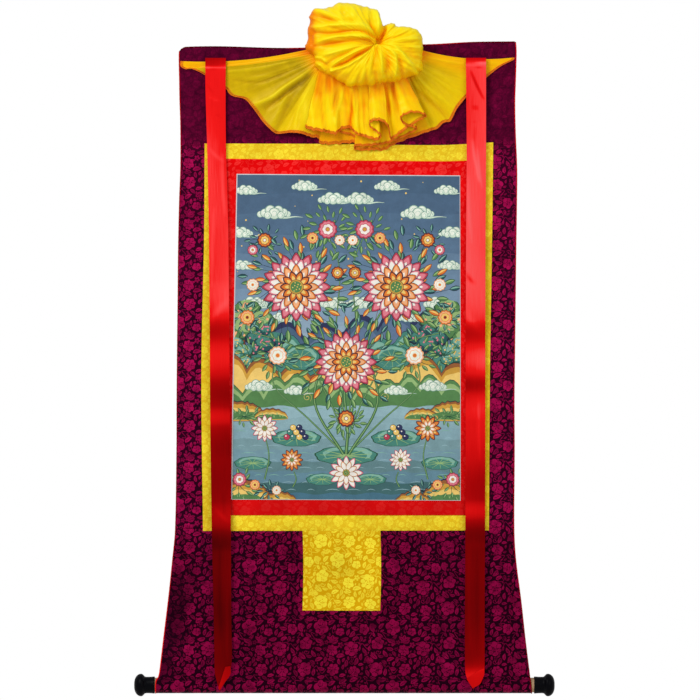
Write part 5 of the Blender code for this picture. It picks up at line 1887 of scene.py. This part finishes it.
def veil_lines(index, share):
    """Points on the lines that run from the gather to the hem. index counts the rows of the hem's table."""
    rows = [(float(k), *row) for k, row in enumerate(VEIL_HEM)]
    hem_x, hem_z, hem_out, top_x, top_z, top_out, sag = (through(rows, index, k) / 1000 for k in range(1, 8))
    x = top_x + (hem_x - top_x) * share
    z = top_z + (hem_z - top_z) * share - 4 * sag * share * (1 - share)
    clear = 0.0026
    forward = clear + (top_out - clear) * (1 - share) ** 2.0 + (hem_out - clear) * share**0.8
    return np.stack(np.broadcast_arrays(x, -forward, z), axis=2)


LEFT_WING_END, RIGHT_WING_START = 18, 74


def skirt_surface():
    """The middle of the skirt and wings, by index along the hem and share of the way down, with warmth, which is mostly
    painted shade, and cover, part of which is painted shade too.
    """
    last = len(VEIL_HEM) - 1
    index = np.linspace(0.0, last, last * HEM_STEPS + 1)[:, None]
    share = np.linspace(0.0, 1.0, DROP_STEPS)[None]
    grid = veil_lines(index, share)
    outward = surface_normals(grid)
    x, z = grid[..., 0], grid[..., 2]
    left = 1 - ease((index - LEFT_WING_END) / 1.5)
    right = ease((index - RIGHT_WING_START) / 2.0)
    wing = left + right
    lift = fold_lift(x, z, WING_FOLDS, 0.8) * wing + fold_lift(x, z, SKIRT_FOLDS, 0.8) * (1 - wing)
    loose = share * (1 - share) * 4
    crimp = 0.0007 * np.sin(4.1 * index + 1.3 * np.sin(0.9 * index)) * (1 - share) ** 0.7
    crimp = crimp + 0.0004 * np.sin(7.3 * index + 3.0 * share + 0.6) * loose
    crimp = crimp + 0.0005 * np.sin(2.3 * index - 5.0 * share) * loose
    crimp = crimp + 0.0030 * (crumple(0.0055 * index + 0.0 * share, 0.055 * share, 0.0120, 1.3) - 0.5) * loose**0.5
    crimp = crimp * ease(share / 0.12) * (1 - 0.55 * wing)
    toward = np.zeros_like(grid)
    toward[..., 1] = -1.0
    ends = ease((index - 0.8) / 1.5) * ease((last - 0.8 - index) / 1.5)
    edge_ruffle = share**6 * ends * (0.0008 * np.sin(3.3 * index + 0.5) + 0.0014 * np.sin(6.1 * index) * (1 - wing))
    ragged = 0.0011 * np.sin(9.1 * index) + 0.0009 * np.sin(15.7 * index + 1.0)
    grid[..., 2] += ragged * share**12 * ends * (1 - wing)
    grid = grid + toward * (lift + edge_ruffle)[..., None] + outward * crimp[..., None]
    grid[..., 1] = np.minimum(grid[..., 1], relief(x, z) - 0.0014)
    # Painted shade: deeper orange under the puff, in the valleys, near the wings' gather and further back, paler on the
    # ridges. The wings' doubled edges are a deeper gold of their own.
    shade = ease((z + 0.128) / 0.075) * (1 - wing)
    doubled = 1 - ease((np.minimum(index, last - index) - 2.2) / 1.8)
    warmth_and_painted_shade = 0.44 + 0.45 * shade - (115 - 55 * wing) * (lift + crimp)
    warmth_and_painted_shade = warmth_and_painted_shade - wing * (0.04 - 0.45 * (1 - ease(share / 0.22)) - 0.26 * doubled)
    behind = ease((0.017 + grid[..., 1]) / 0.012) * (1 - wing)
    warmth_and_painted_shade = np.clip(warmth_and_painted_shade + 0.35 * behind, 0.0, 1.0)
    left = left * (1 - 0.6 * ease((index - 13.5) / 2.5))
    sheer = (0.56 * left + 0.24 * right) * ease((share - 0.02) / 0.20) * (1 - 0.9 * doubled) * (1.05 - 0.35 * ease(share))
    # The wings are painted thinner in their valleys and fuller on their ridges, a painted shade, and the slit by the
    # right wing is painted as a dark gap, a painted shadow.
    sheer = sheer * np.clip(1 - 170 * (lift + 0.7 * crimp), 0.3, 1.6)
    slit = np.exp(-(((index - 75.2) / 0.55) ** 2)) * np.sin(math.pi * np.clip((share - 0.10) / 0.70, 0.0, 1.0))
    cover = 0.90 - np.clip(sheer + 0.75 * slit, 0.0, 0.88)
    return grid, warmth_and_painted_shade, cover * np.ones_like(warmth_and_painted_shade), index, share


def closed_grid(rows, columns, first, turned=False):
    """The faces of a grid of points that begins with this point's number."""
    k = first + np.arange(rows * columns).reshape(rows, columns)
    quads = np.stack((k[:-1, :-1], k[1:, :-1], k[1:, 1:], k[:-1, 1:]), axis=2).reshape(-1, 4)
    return quads[:, ::-1] if turned else quads


def shell_of(grid, thick):
    """The points and faces of a thin closed cloth whose middle is this grid of points."""
    rows, columns, _ = grid.shape
    normal = surface_normals(grid)
    points = np.vstack(((grid + normal * thick / 2).reshape(-1, 3), (grid - normal * thick / 2).reshape(-1, 3)))
    count = rows * columns
    faces = closed_grid(rows, columns, 0, turned=True).tolist() + closed_grid(rows, columns, count).tolist()
    number = np.arange(count).reshape(rows, columns)
    ring = np.concatenate((number[:, 0], number[-1, 1:], number[-2::-1, -1], number[0, -2:0:-1]))
    faces += [(a, b, count + b, count + a) for a, b in zip(ring.tolist(), np.roll(ring, -1).tolist())]
    return points, faces


def puff_shell(grid):
    """The points and faces of the puff, closed at its two poles."""
    turns, rings, _ = grid.shape
    number = np.arange(turns * rings).reshape(turns, rings)
    ahead = np.roll(number, -1, axis=0)
    faces = np.stack((number[:, :-1], number[:, 1:], ahead[:, 1:], ahead[:, :-1]), axis=2).reshape(-1, 4).tolist()
    front_pole, back_pole = turns * rings, turns * rings + 1
    faces += [(front_pole, number[k, 0], ahead[k, 0]) for k in range(turns)]
    faces += [(back_pole, ahead[k, -1], number[k, -1]) for k in range(turns)]
    return np.vstack((grid.reshape(-1, 3), grid[:, 0].mean(axis=0), grid[:, -1].mean(axis=0))), faces


def silk_piece(name):
    """The whole veil as one cloth: the puff, and the skirt and wings with their own thickness. What each point is told
    is its warmth, which is mostly painted shade, its cover and hem, and where it lies on the flat cloth. The hem's line
    and the way into the cloth from it are handed on for its stitches."""
    puff, puff_painted_shade = puff_surface()
    points, faces = puff_shell(puff)
    turns, rings = puff_painted_shade.shape
    turn, ring = np.meshgrid(np.arange(turns), np.arange(rings), indexing="ij")
    told = np.column_stack((puff_painted_shade.ravel(), np.ones(turns * rings), np.zeros(turns * rings)))
    told = np.vstack((told, (puff_painted_shade[:, 0].mean(), 1.0, 0.0), (puff_painted_shade[:, -1].mean(), 1.0, 0.0)))
    laid = np.column_stack((0.0015 * turn.ravel(), 0.0016 * ring.ravel(), np.zeros(turns * rings)))
    laid = np.vstack((laid, np.zeros((2, 3))))

    middle, warmth_and_painted_shade, cover, index, share = skirt_surface()
    skirt_points, skirt_faces = shell_of(middle, SILK_THICK)
    length = np.linalg.norm(middle[:, -1] - middle[:, 0], axis=1)[:, None]
    hem = ease((HEM_BAND - (1 - share) * length) / 0.0006)
    skirt_told = np.column_stack((warmth_and_painted_shade.ravel(), cover.ravel(), hem.ravel()))
    skirt_laid = np.column_stack(((0.006 * index + 0 * share).ravel(), (share * length).ravel(), 0 * warmth_and_painted_shade.ravel()))
    faces += [tuple(v + len(points) for v in face) for face in skirt_faces]
    told = np.vstack((told, skirt_told, skirt_told))
    laid = np.vstack((laid, skirt_laid, skirt_laid))

    mesh = bpy.data.meshes.new(name)
    mesh.from_pydata(np.vstack((points, skirt_points)).tolist(), [], faces)
    colour = mesh.color_attributes.new("silk", "FLOAT_COLOR", "POINT")
    colour.data.foreach_set("color", np.column_stack((told, np.ones(len(told)))).ravel())
    lay = mesh.attributes.new("lay", "FLOAT_VECTOR", "POINT")
    lay.data.foreach_set("vector", laid.ravel())
    mesh.shade_smooth()
    piece = bpy.data.objects.new(name, mesh)
    bpy.context.scene.collection.objects.link(piece)
    return piece, middle


veil, veil_middle = silk_piece("veil_cloth")
silk, tree, shader = new_finish("yellow_silk", 0.31, specular_ior_level=0.26, specular_tint=(1.0, 0.82, 0.20, 1.0))
told = put(tree, "ShaderNodeAttribute", attribute_name="silk").outputs["Color"]
told = put(tree, "ShaderNodeSeparateColor", {"Color": told})
laid = put(tree, "ShaderNodeAttribute", attribute_name="lay").outputs["Vector"]
streak_scale = put(tree, "ShaderNodeMapping", {"Vector": laid, "Scale": (700.0, 60.0, 1.0)})
streaks = put(tree, "ShaderNodeTexNoise", {"Vector": streak_scale.outputs["Vector"], "Scale": 1.0, "Detail": 3.0})
uneven = put(tree, "ShaderNodeMapRange", {"Value": streaks.outputs["Fac"], "To Min": 0.86, "To Max": 1.08})
# The warmth attribute picks a colour from pale lemon to deep orange, so it carries the painted shade.
tone = put(tree, "ShaderNodeValToRGB", {"Fac": told.outputs["Red"]})
for k, (at, colour) in enumerate(
    (
        (0.0, (1.0, 0.84, 0.014)),
        (0.38, (1.0, 0.68, 0.002)),
        (0.75, (0.98, 0.43, 0.001)),
        (1.0, (0.90, 0.22, 0.000)),
    )
):
    stop = tone.color_ramp.elements[k] if k < 2 else tone.color_ramp.elements.new(at)
    stop.position = at
    stop.color = (*colour, 1.0)
colour = blended(tree, 1.0, tone.outputs["Color"], uneven.outputs["Result"], "MULTIPLY")
# Where the silk is thin its colour goes towards dark olive: the ground seen through it, and the painted shade of the
# wings' valleys and of the slit.
thin = math_node(tree, "SUBTRACT", 0.90, told.outputs["Green"])
mottle = put(tree, "ShaderNodeTexNoise", {"Vector": laid, "Scale": 60.0, "Detail": 3.0, "Distortion": 0.8})
mottled = put(tree, "ShaderNodeMapRange", {"Value": mottle.outputs["Fac"], "To Min": 0.6, "To Max": 1.3})
dimmed = math_node(tree, "MULTIPLY", math_node(tree, "MAXIMUM", thin, 0.0), mottled.outputs["Result"])
colour = blended(tree, dimmed, colour, (0.20, 0.125, 0.004))
colour = blended(tree, told.outputs["Blue"], colour, (0.95, 0.26, 0.008))
tree.links.new(colour, shader.inputs["Base Color"])
cover = math_node(tree, "SUBTRACT", 1.0, math_node(tree, "MULTIPLY", math_node(tree, "MAXIMUM", thin, 0.0), 0.30))
whole = math_node(tree, "MAXIMUM", cover, told.outputs["Blue"])
tree.links.new(whole, shader.inputs["Alpha"])
crinkle = put(tree, "ShaderNodeBump", {"Height": streaks.outputs["Fac"], "Strength": 0.28, "Distance": 0.0006})
tree.links.new(crinkle.outputs["Normal"], shader.inputs["Normal"])
veil.data.materials.append(silk)
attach(veil, "root")
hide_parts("veil")

# Overlock of the veil. Orange thread goes over the edge in a zigzag from front to back, a second line of thread holds
# it inside the edge, and a loose cord of thread lies along the edge itself.
STITCH_PITCH = 0.0024
STITCH_DEPTH = 0.0040
THREAD_RADIUS = 0.00045
EDGE_CORD_RADIUS = 0.00080


def thread_along(tree, line, radius, sides):
    """A thin round thread along a line."""
    ring = put(tree, "GeometryNodeCurvePrimitiveCircle")
    ring.inputs["Resolution"].default_value = sides
    tree.links.new(radius, ring.inputs["Radius"])
    tube = put(tree, "GeometryNodeCurveToMesh", {"Curve": line, "Profile Curve": ring.outputs["Curve"], "Fill Caps": True})
    return tube.outputs["Mesh"]


def overlock_tree(thread):
    """Stitches over the edge of a cloth. The line that it takes is the hem's, and each point of it is told the way
    into the cloth and the way the cloth faces."""
    tree = bpy.data.node_groups.new("overlock", "GeometryNodeTree")
    given, result = add_inputs(tree, Pitch=0.0, Depth=0.0, Thread=0.0, Cord=0.0, Thick=0.0)
    line = put(tree, "GeometryNodeMeshToCurve", {"Mesh": given.outputs["Geometry"]})
    quarter = math_node(tree, "DIVIDE", given.outputs["Pitch"], 4.0)
    even = put(
        tree, "GeometryNodeResampleCurve", {"Curve": line.outputs["Curve"], "Length": quarter}, mode="LENGTH"
    ).outputs["Curve"]
    inward = put(tree, "GeometryNodeInputNamedAttribute", {"Name": "inward"}, data_type="FLOAT_VECTOR")
    facing = put(tree, "GeometryNodeInputNamedAttribute", {"Name": "facing"}, data_type="FLOAT_VECTOR")
    number = put(tree, "GeometryNodeInputIndex").outputs["Index"]
    quarters = math_node(tree, "MULTIPLY", number, math.pi / 2)
    into = math_node(tree, "ABSOLUTE", math_node(tree, "SINE", quarters))
    front = math_node(tree, "SINE", quarters)
    rough = put(tree, "ShaderNodeTexNoise", {"Scale": 900.0, "Detail": 0.0}).outputs["Fac"]
    uneven = math_node(tree, "ADD", math_node(tree, "MULTIPLY", rough, 0.5), 0.75)
    reach = math_node(tree, "MULTIPLY", math_node(tree, "MULTIPLY", into, given.outputs["Depth"]), uneven)
    hanging = math_node(tree, "MULTIPLY", math_node(tree, "SUBTRACT", rough, 0.35), given.outputs["Depth"])
    reach = math_node(tree, "SUBTRACT", reach, math_node(tree, "MAXIMUM", hanging, 0.0))
    proud = math_node(tree, "ADD", math_node(tree, "MULTIPLY", given.outputs["Thick"], 0.5), given.outputs["Thread"])

    def shifted(curve, reach, out):
        across = put(tree, "ShaderNodeVectorMath", {0: inward.outputs["Attribute"], "Scale": reach}, operation="SCALE")
        forward = put(tree, "ShaderNodeVectorMath", {0: facing.outputs["Attribute"], "Scale": out}, operation="SCALE")
        both = put(tree, "ShaderNodeVectorMath", {0: across.outputs[0], 1: forward.outputs[0]}, operation="ADD")
        return put(tree, "GeometryNodeSetPosition", {"Geometry": curve, "Offset": both.outputs[0]}).outputs["Geometry"]

    zigzag = shifted(even, reach, math_node(tree, "MULTIPLY", front, proud))
    coarse = put(
        tree, "GeometryNodeResampleCurve", {"Curve": line.outputs["Curve"], "Length": given.outputs["Pitch"]}, mode="LENGTH"
    ).outputs["Curve"]
    needle = shifted(coarse, given.outputs["Depth"], proud)
    parts = put(tree, "GeometryNodeJoinGeometry")
    for curve, radius, sides in (
        (zigzag, given.outputs["Thread"], 5),
        (needle, given.outputs["Thread"], 6),
        (coarse, given.outputs["Cord"], 8),
    ):
        tree.links.new(thread_along(tree, curve, radius, sides), parts.inputs["Geometry"])
    whole = put(tree, "GeometryNodeRealizeInstances", {"Geometry": parts.outputs["Geometry"]})
    smooth = put(tree, "GeometryNodeSetShadeSmooth", {"Geometry": whole.outputs["Geometry"]})
    finished = put(
        tree, "GeometryNodeSetMaterial", {"Geometry": smooth.outputs["Geometry"], "Material": thread}
    )
    tree.links.new(finished.outputs["Geometry"], result.inputs["Geometry"])
    return tree


orange_thread, tree, shader = new_finish("orange_thread", 0.55, specular_ior_level=0.12)
where = put(tree, "ShaderNodeTexCoord").outputs["Object"]
fuzz = put(tree, "ShaderNodeTexNoise", {"Vector": where, "Scale": 420.0, "Detail": 2.0})
tree.links.new(blended(tree, fuzz.outputs["Fac"], (0.66, 0.045, 0.002), (1.0, 0.30, 0.016)), shader.inputs["Base Color"])
twist = put(tree, "ShaderNodeTexNoise", {"Vector": where, "Scale": 2600.0, "Detail": 1.0})
twisted = put(tree, "ShaderNodeBump", {"Height": twist.outputs["Fac"], "Strength": 0.4, "Distance": 0.0002})
tree.links.new(twisted.outputs["Normal"], shader.inputs["Normal"])

inward = veil_middle[:, -2] - veil_middle[:, -1]
inward /= np.linalg.norm(inward, axis=1)[:, None]
facing = surface_normals(veil_middle)[:, -1]
overlock = route_piece("veil_overlock", veil_middle[:, -1], inward=inward, facing=facing)
worked_out(
    overlock,
    overlock_tree(orange_thread),
    Pitch=STITCH_PITCH,
    Depth=STITCH_DEPTH,
    Thread=THREAD_RADIUS,
    Cord=EDGE_CORD_RADIUS,
    Thick=SILK_THICK,
)
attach(overlock, "root")


# Ribbons. Two satin ribbons hang the whole way down, over the veil's wings. Each is turned to the back at its head,
# where it is sewn down, and its end is folded over twice to a point, so that the ribbon's back shows there.
RIBBON_TOP = -0.022
RIBBON_TUCK = 0.014
RIBBON_BEND = 0.0013
RIBBON_THICK = 0.0005
RIBBON_STEP = 0.004
RIBBON_COLUMNS = 17
RIBBON_EDGES = {  # height, left, right
    "left": (
        (-0.022, -0.2606, -0.2226),
        (-0.080, -0.2602, -0.2232),
        (-0.180, -0.2574, -0.2226),
        (-0.330, -0.2540, -0.2186),
        (-0.530, -0.2524, -0.2164),
        (-0.660, -0.2516, -0.2152),
        (-0.820, -0.2498, -0.2136),
        (-0.960, -0.2472, -0.2130),
        (-1.060, -0.2450, -0.2126),
        (-1.139, -0.2436, -0.2125),
        (-1.153, -0.2430, -0.2195),
        (-1.185, -0.2348, -0.2338),
    ),
    "right": (
        (-0.022, 0.2184, 0.2556),
        (-0.080, 0.2190, 0.2556),
        (-0.200, 0.2200, 0.2556),
        (-0.370, 0.2190, 0.2546),
        (-0.560, 0.2182, 0.2543),
        (-0.700, 0.2180, 0.2542),
        (-0.860, 0.2176, 0.2540),
        (-0.980, 0.2170, 0.2534),
        (-1.075, 0.2166, 0.2530),
        (-1.146, 0.2172, 0.2528),
        (-1.160, 0.2196, 0.2510),
        (-1.181, 0.2306, 0.2326),
    ),
}
RIBBON_WAVES = {  # height, how far it stands forward
    "left": (
        (-0.022, 0.0091),
        (-0.036, 0.0090),
        (-0.042, 0.0094),
        (-0.080, 0.0094),
        (-0.180, 0.0088),
        (-0.330, 0.0104),
        (-0.430, 0.0110),
        (-0.500, 0.0130),
        (-0.545, 0.0086),
        (-0.608, 0.0130),
        (-0.664, 0.0086),
        (-0.700, 0.0118),
        (-0.760, 0.0092),
        (-0.838, 0.0082),
        (-0.888, 0.0124),
        (-0.930, 0.0096),
        (-1.010, 0.0094),
        (-1.075, 0.0080),
        (-1.139, 0.0085),
        (-1.153, 0.0087),
        (-1.185, 0.0092),
    ),
    "right": (
        (-0.022, 0.0113),
        (-0.030, 0.0112),
        (-0.036, 0.0116),
        (-0.080, 0.0110),
        (-0.200, 0.0088),
        (-0.370, 0.0106),
        (-0.505, 0.0128),
        (-0.548, 0.0088),
        (-0.605, 0.0126),
        (-0.640, 0.0088),
        (-0.690, 0.0112),
        (-0.760, 0.0122),
        (-0.835, 0.0086),
        (-0.872, 0.0124),
        (-0.915, 0.0094),
        (-1.000, 0.0092),
        (-1.075, 0.0080),
        (-1.146, 0.0085),
        (-1.160, 0.0087),
        (-1.181, 0.0092),
    ),
}
RIBBON_PAINTED_LIGHT = {  # height, tone from dark to light: the satin's painted light and shade, darker lower down
    "left": (
        (-0.020, 0.80),
        (-0.200, 0.845),
        (-0.470, 0.84),
        (-0.600, 0.68),
        (-0.800, 0.50),
        (-0.880, 0.48),
        (-0.930, 0.40),
        (-1.120, 0.35),
        (-1.170, 0.42),
    ),
    "right": (
        (-0.020, 0.895),
        (-0.470, 0.905),
        (-0.540, 0.80),
        (-0.760, 0.73),
        (-0.840, 0.60),
        (-0.880, 0.57),
        (-0.930, 0.43),
        (-1.110, 0.46),
        (-1.135, 0.52),
        (-1.155, 0.80),
    ),
}
RIBBON_HEAD_ENDS = {"left": -0.0372, "right": -0.0315}
RIBBON_HEAD_SHADE = {"left": 0.15, "right": 0.09}
RIBBON_CREASES = {  # from across and height, to across and height, bow, depth to the wall, width
    "left": (
        (-0.2640, -0.0396, -0.2200, -0.0352, 0.000, 0.0013, 0.0011),
        (-0.2506, -0.0440, -0.2400, -0.0440, 0.000, -0.0005, 0.0012),
        (-0.2552, -0.0927, -0.2324, -0.1019, 0.001, 0.0005, 0.0024),
        (-0.2580, -0.0700, -0.2450, -0.0860, 0.001, -0.0004, 0.0026),
        (-0.2400, -0.1280, -0.2300, -0.1310, 0.000, -0.0006, 0.0016),
        (-0.2520, -0.1900, -0.2260, -0.2120, 0.002, 0.0005, 0.0034),
        (-0.2290, -0.2000, -0.2240, -0.3100, 0.002, 0.0008, 0.0030),
        (-0.2440, -0.3000, -0.2480, -0.4400, 0.002, 0.0006, 0.0034),
        (-0.2200, -0.4700, -0.2500, -0.5100, 0.003, 0.0009, 0.0070),
        (-0.2260, -0.8200, -0.2240, -0.8600, 0.001, -0.0005, 0.0030),
        (-0.2420, -0.8500, -0.2180, -0.8760, 0.001, 0.0007, 0.0040),
        (-0.2330, -0.9200, -0.2310, -1.0900, 0.002, -0.0006, 0.0040),
        (-0.2200, -1.0000, -0.2190, -1.1300, 0.001, 0.0006, 0.0026),
    ),
    "right": (
        (0.2285, -0.0486, 0.2513, -0.0973, 0.001, -0.0022, 0.0021),
        (0.2293, -0.0372, 0.2491, -0.0401, 0.000, -0.0008, 0.0012),
        (0.2240, -0.0330, 0.2600, -0.0318, 0.000, 0.0011, 0.0010),
        (0.2308, -0.1111, 0.2414, -0.1111, 0.000, -0.0008, 0.0011),
        (0.2308, -0.1150, 0.2414, -0.1152, 0.000, -0.0008, 0.0011),
        (0.2308, -0.1386, 0.2369, -0.1386, 0.000, -0.0006, 0.0014),
        (0.2309, -0.1748, 0.2429, -0.2484, 0.001, 0.0016, 0.0030),
        (0.2400, -0.1900, 0.2480, -0.2600, 0.001, 0.0010, 0.0024),
        (0.2350, -0.1500, 0.2370, -0.2300, 0.001, -0.0006, 0.0022),
        (0.2230, -0.2400, 0.2290, -0.3600, 0.002, 0.0007, 0.0030),
        (0.2200, -0.4200, 0.2330, -0.4360, 0.001, -0.0014, 0.0040),
        (0.2200, -0.4900, 0.2500, -0.5280, 0.003, 0.0008, 0.0070),
        (0.2430, -0.6500, 0.2440, -0.7600, 0.001, 0.0007, 0.0030),
        (0.2250, -0.9200, 0.2270, -1.1000, 0.002, 0.0006, 0.0030),
        (0.2400, -0.9300, 0.2410, -1.1200, 0.001, -0.0006, 0.0040),
    ),
}
RIBBON_FLAPS = {  # outer fold and free edge of the turned end, in millimetres
    "left": (
        ((-214.2, -1140.0), (-214.4, -1155.5), (-224.5, -1170.0), (-233.7, -1185.0)),
        ((-223.7, -1141.4), (-227.0, -1151.0), (-230.8, -1163.0), (-236.8, -1180.4)),
    ),
    "right": (
        ((252.3, -1145.4), (251.6, -1156.0), (244.2, -1173.0), (230.6, -1180.6)),
        ((251.6, -1144.4), (240.0, -1149.6), (228.0, -1158.0), (219.6, -1163.4)),
    ),
}
RIBBON_FLAP_TONES = {"left": (0.56, 0.66), "right": (0.76, 0.70)}
FLAP_ROWS, FLAP_COLUMNS = 15, 9


def ribbon_front(side, height, share):
    """Where the ribbon's front lies at each height and share of its width, and its tone there, which is a painted light
    and shade.
    """
    left = through(RIBBON_EDGES[side], height, 1)
    right = through(RIBBON_EDGES[side], height, 2)
    x = left + (right - left) * share
    forward = through(RIBBON_WAVES[side], height)
    step = 0.002
    faces_up = (through(RIBBON_WAVES[side], height - step) - through(RIBBON_WAVES[side], height + step)) / (2 * step)
    folds = creases(x, height * np.ones_like(x), RIBBON_CREASES[side])
    cupped = 0.0007 * (2 * share - 1) ** 2 * np.sin(7.0 * height + (0.4 if side == "left" else 2.2))
    sway = 0.0006 * (2 * share - 1) * np.sin(13.0 * height + (1.0 if side == "left" else 3.0))
    # Painted light and shade: darker lower down, lighter where the satin faces up, stands forward in a crease or sways
    # out, and darker on its head.
    tone = through(RIBBON_PAINTED_LIGHT[side], height) + 1.05 * faces_up + 75 * folds + 45 * sway
    head = ease((height - RIBBON_HEAD_ENDS[side] - 0.09 * (x - 0.5 * (left + right)) + 0.0008) / 0.0016)
    tone = tone - RIBBON_HEAD_SHADE[side] * head
    return x, -(forward + folds + cupped + sway), tone


def ribbon_cloth(side):
    """One ribbon with its tuck, its fold, its front and its turned end, as one cloth."""
    share = np.linspace(0.0, 1.0, RIBBON_COLUMNS)[None]
    fold = RIBBON_TOP - RIBBON_BEND
    forward = float(through(RIBBON_WAVES[side], RIBBON_TOP))
    end = RIBBON_EDGES[side][-1][0]
    behind = np.linspace(fold - RIBBON_TUCK, fold, 6)[:-1, None]
    turn = np.linspace(0.0, math.pi, 9)[:, None]
    below = np.linspace(fold, end, round((fold - end) / RIBBON_STEP))[1:, None]
    front_x, front_y, front_tone = ribbon_front(side, below, share)
    head_x, _, head_tone = ribbon_front(side, np.full((1, 1), fold), share)
    back_y = 2 * RIBBON_BEND - forward
    parts = [
        np.stack(np.broadcast_arrays(head_x, np.full_like(behind, back_y), behind), axis=2),
        np.stack(
            np.broadcast_arrays(
                head_x, RIBBON_BEND * (1 + np.cos(turn)) - forward, fold + RIBBON_BEND * np.sin(turn)
            ),
            axis=2,
        ),
        np.stack(np.broadcast_arrays(front_x, front_y, below), axis=2),
    ]
    grid = np.concatenate(parts)
    head_rows = len(behind) + len(turn)
    # The tuck and the fold at the head are painted a little darker still, a painted shade.
    tone = np.vstack((np.repeat(head_tone - 0.08, head_rows, axis=0), front_tone))
    length = np.concatenate(((0.0,), np.cumsum(np.linalg.norm(np.diff(grid[:, 8], axis=0), axis=1))))
    lay = np.stack(np.broadcast_arrays(0.038 * share, length[:, None], 0.0), axis=2)
    points, faces = shell_of(grid, RIBBON_THICK)
    tones, lays = np.tile(tone.ravel(), 2), np.tile(lay.reshape(-1, 3), (2, 1))

    outer, free = (smooth_route(line, FLAP_ROWS) / 1000 for line in RIBBON_FLAPS[side])
    across = np.linspace(0.0, 1.0, FLAP_COLUMNS)[None, :, None]
    flat = outer[:, None] * (1 - across) + free[:, None] * across
    x, z = flat[..., 0], flat[..., 1]
    base = through(RIBBON_WAVES[side], z)
    arch = np.sin(math.pi * np.clip(across[..., 0] * 0.9 + 0.1, 0, 1)) ** 0.7
    lift = 0.0007 + 0.0014 * arch * np.sin(math.pi * np.linspace(0.12, 0.9, FLAP_ROWS))[:, None]
    flap = np.stack((x, -(base + RIBBON_THICK + lift), z), axis=2)
    if surface_normals(flap)[..., 1].mean() > 0:
        flap = flap[:, ::-1]
    flap_points, flap_faces = shell_of(flap, RIBBON_THICK)
    flap_rows = np.tile(np.repeat(np.linspace(0.0, 1.0, FLAP_ROWS), FLAP_COLUMNS), 2)
    flap_tone = RIBBON_FLAP_TONES[side][0] + (RIBBON_FLAP_TONES[side][1] - RIBBON_FLAP_TONES[side][0]) * flap_rows
    flap_lay = np.column_stack((flap_points[:, 0], flap_points[:, 2], 0 * flap_points[:, 0]))
    faces += [tuple(v + len(points) for v in face) for face in flap_faces]
    points = np.vstack((points, flap_points))

    name = f"ribbon_{side}_cloth"
    mesh = bpy.data.meshes.new(name)
    mesh.from_pydata(points.tolist(), [], faces)
    told = mesh.attributes.new("satin", "FLOAT", "POINT")
    told.data.foreach_set("value", np.concatenate((tones, flap_tone)).astype(float))
    laid = mesh.attributes.new("lay", "FLOAT_VECTOR", "POINT")
    laid.data.foreach_set("vector", np.vstack((lays, flap_lay)).ravel())
    mesh.shade_smooth()
    mesh.set_sharp_from_angle(angle=math.radians(60))
    mesh.materials.append(satin)
    piece = bpy.data.objects.new(name, mesh)
    bpy.context.scene.collection.objects.link(piece)
    return piece


for side in ("left", "right"):
    ribbon = ribbon_cloth(side)
    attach(ribbon, "root")
    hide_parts(f"ribbon_{side}")


# Studio. The camera stands square to the scroll, over a plain pale floor, in soft light that comes mostly from
# above and from the left.
SCENE_MIDDLE = (0.0055, -0.559)
CAMERA_AWAY = 10.0
PHOTO_WIDTH = 1.288
FLOOR_HEIGHT = -1.9

camera = bpy.data.objects.new("Camera", bpy.data.cameras.new("Camera"))
bpy.context.scene.collection.objects.link(camera)
camera.location = (SCENE_MIDDLE[0], -CAMERA_AWAY, SCENE_MIDDLE[1])
camera.rotation_euler = (math.radians(90), 0.0, 0.0)
camera.data.lens = camera.data.sensor_width * CAMERA_AWAY / PHOTO_WIDTH
bpy.context.scene.camera = camera

LAMPS = (  # name, place, size, watts, what it points at
    ("Key", (-1.7, -2.4, 1.5), 1.5, 60.0, (0.0, 0.0, -0.35)),
    ("Fill", (2.2, -2.6, 0.3), 2.2, 18.0, (0.0, 0.0, -0.6)),
)
for name, place, width, watts, aim in LAMPS:
    lamp = bpy.data.objects.new(name, bpy.data.lights.new(name, "AREA"))
    lamp.data.size = width
    lamp.data.energy = watts
    lamp.location = place
    lamp.rotation_euler = (Vector(aim) - Vector(place)).to_track_quat("-Z", "Y").to_euler()
    bpy.context.scene.collection.objects.link(lamp)

world = bpy.data.worlds.new("Studio")
world.use_nodes = True
tree = world.node_tree
seen = put(tree, "ShaderNodeLightPath").outputs["Is Camera Ray"]
strength = put(tree, "ShaderNodeMapRange", {"Value": seen, "To Min": 0.53, "To Max": 1.0})
tree.links.new(strength.outputs["Result"], tree.nodes["Background"].inputs["Strength"])
tree.nodes["Background"].inputs["Color"].default_value = (1.0, 1.0, 1.0, 1.0)
bpy.context.scene.world = world
bpy.context.scene.view_settings.view_transform = "Standard"

bpy.ops.mesh.primitive_plane_add(size=5.0, location=(0.0, 0.0, FLOOR_HEIGHT))
floor = bpy.context.object
floor.name = "Floor"
pale, tree, shader = new_finish("pale_floor", 0.8)
where = put(tree, "ShaderNodeTexCoord").outputs["Object"]
dust = put(tree, "ShaderNodeTexNoise", {"Vector": where, "Scale": 3.0, "Detail": 4.0})
paint = blended(tree, dust.outputs["Fac"], (0.78, 0.77, 0.75), (0.84, 0.83, 0.81))
tree.links.new(paint, shader.inputs["Base Color"])
floor.data.materials.append(pale)
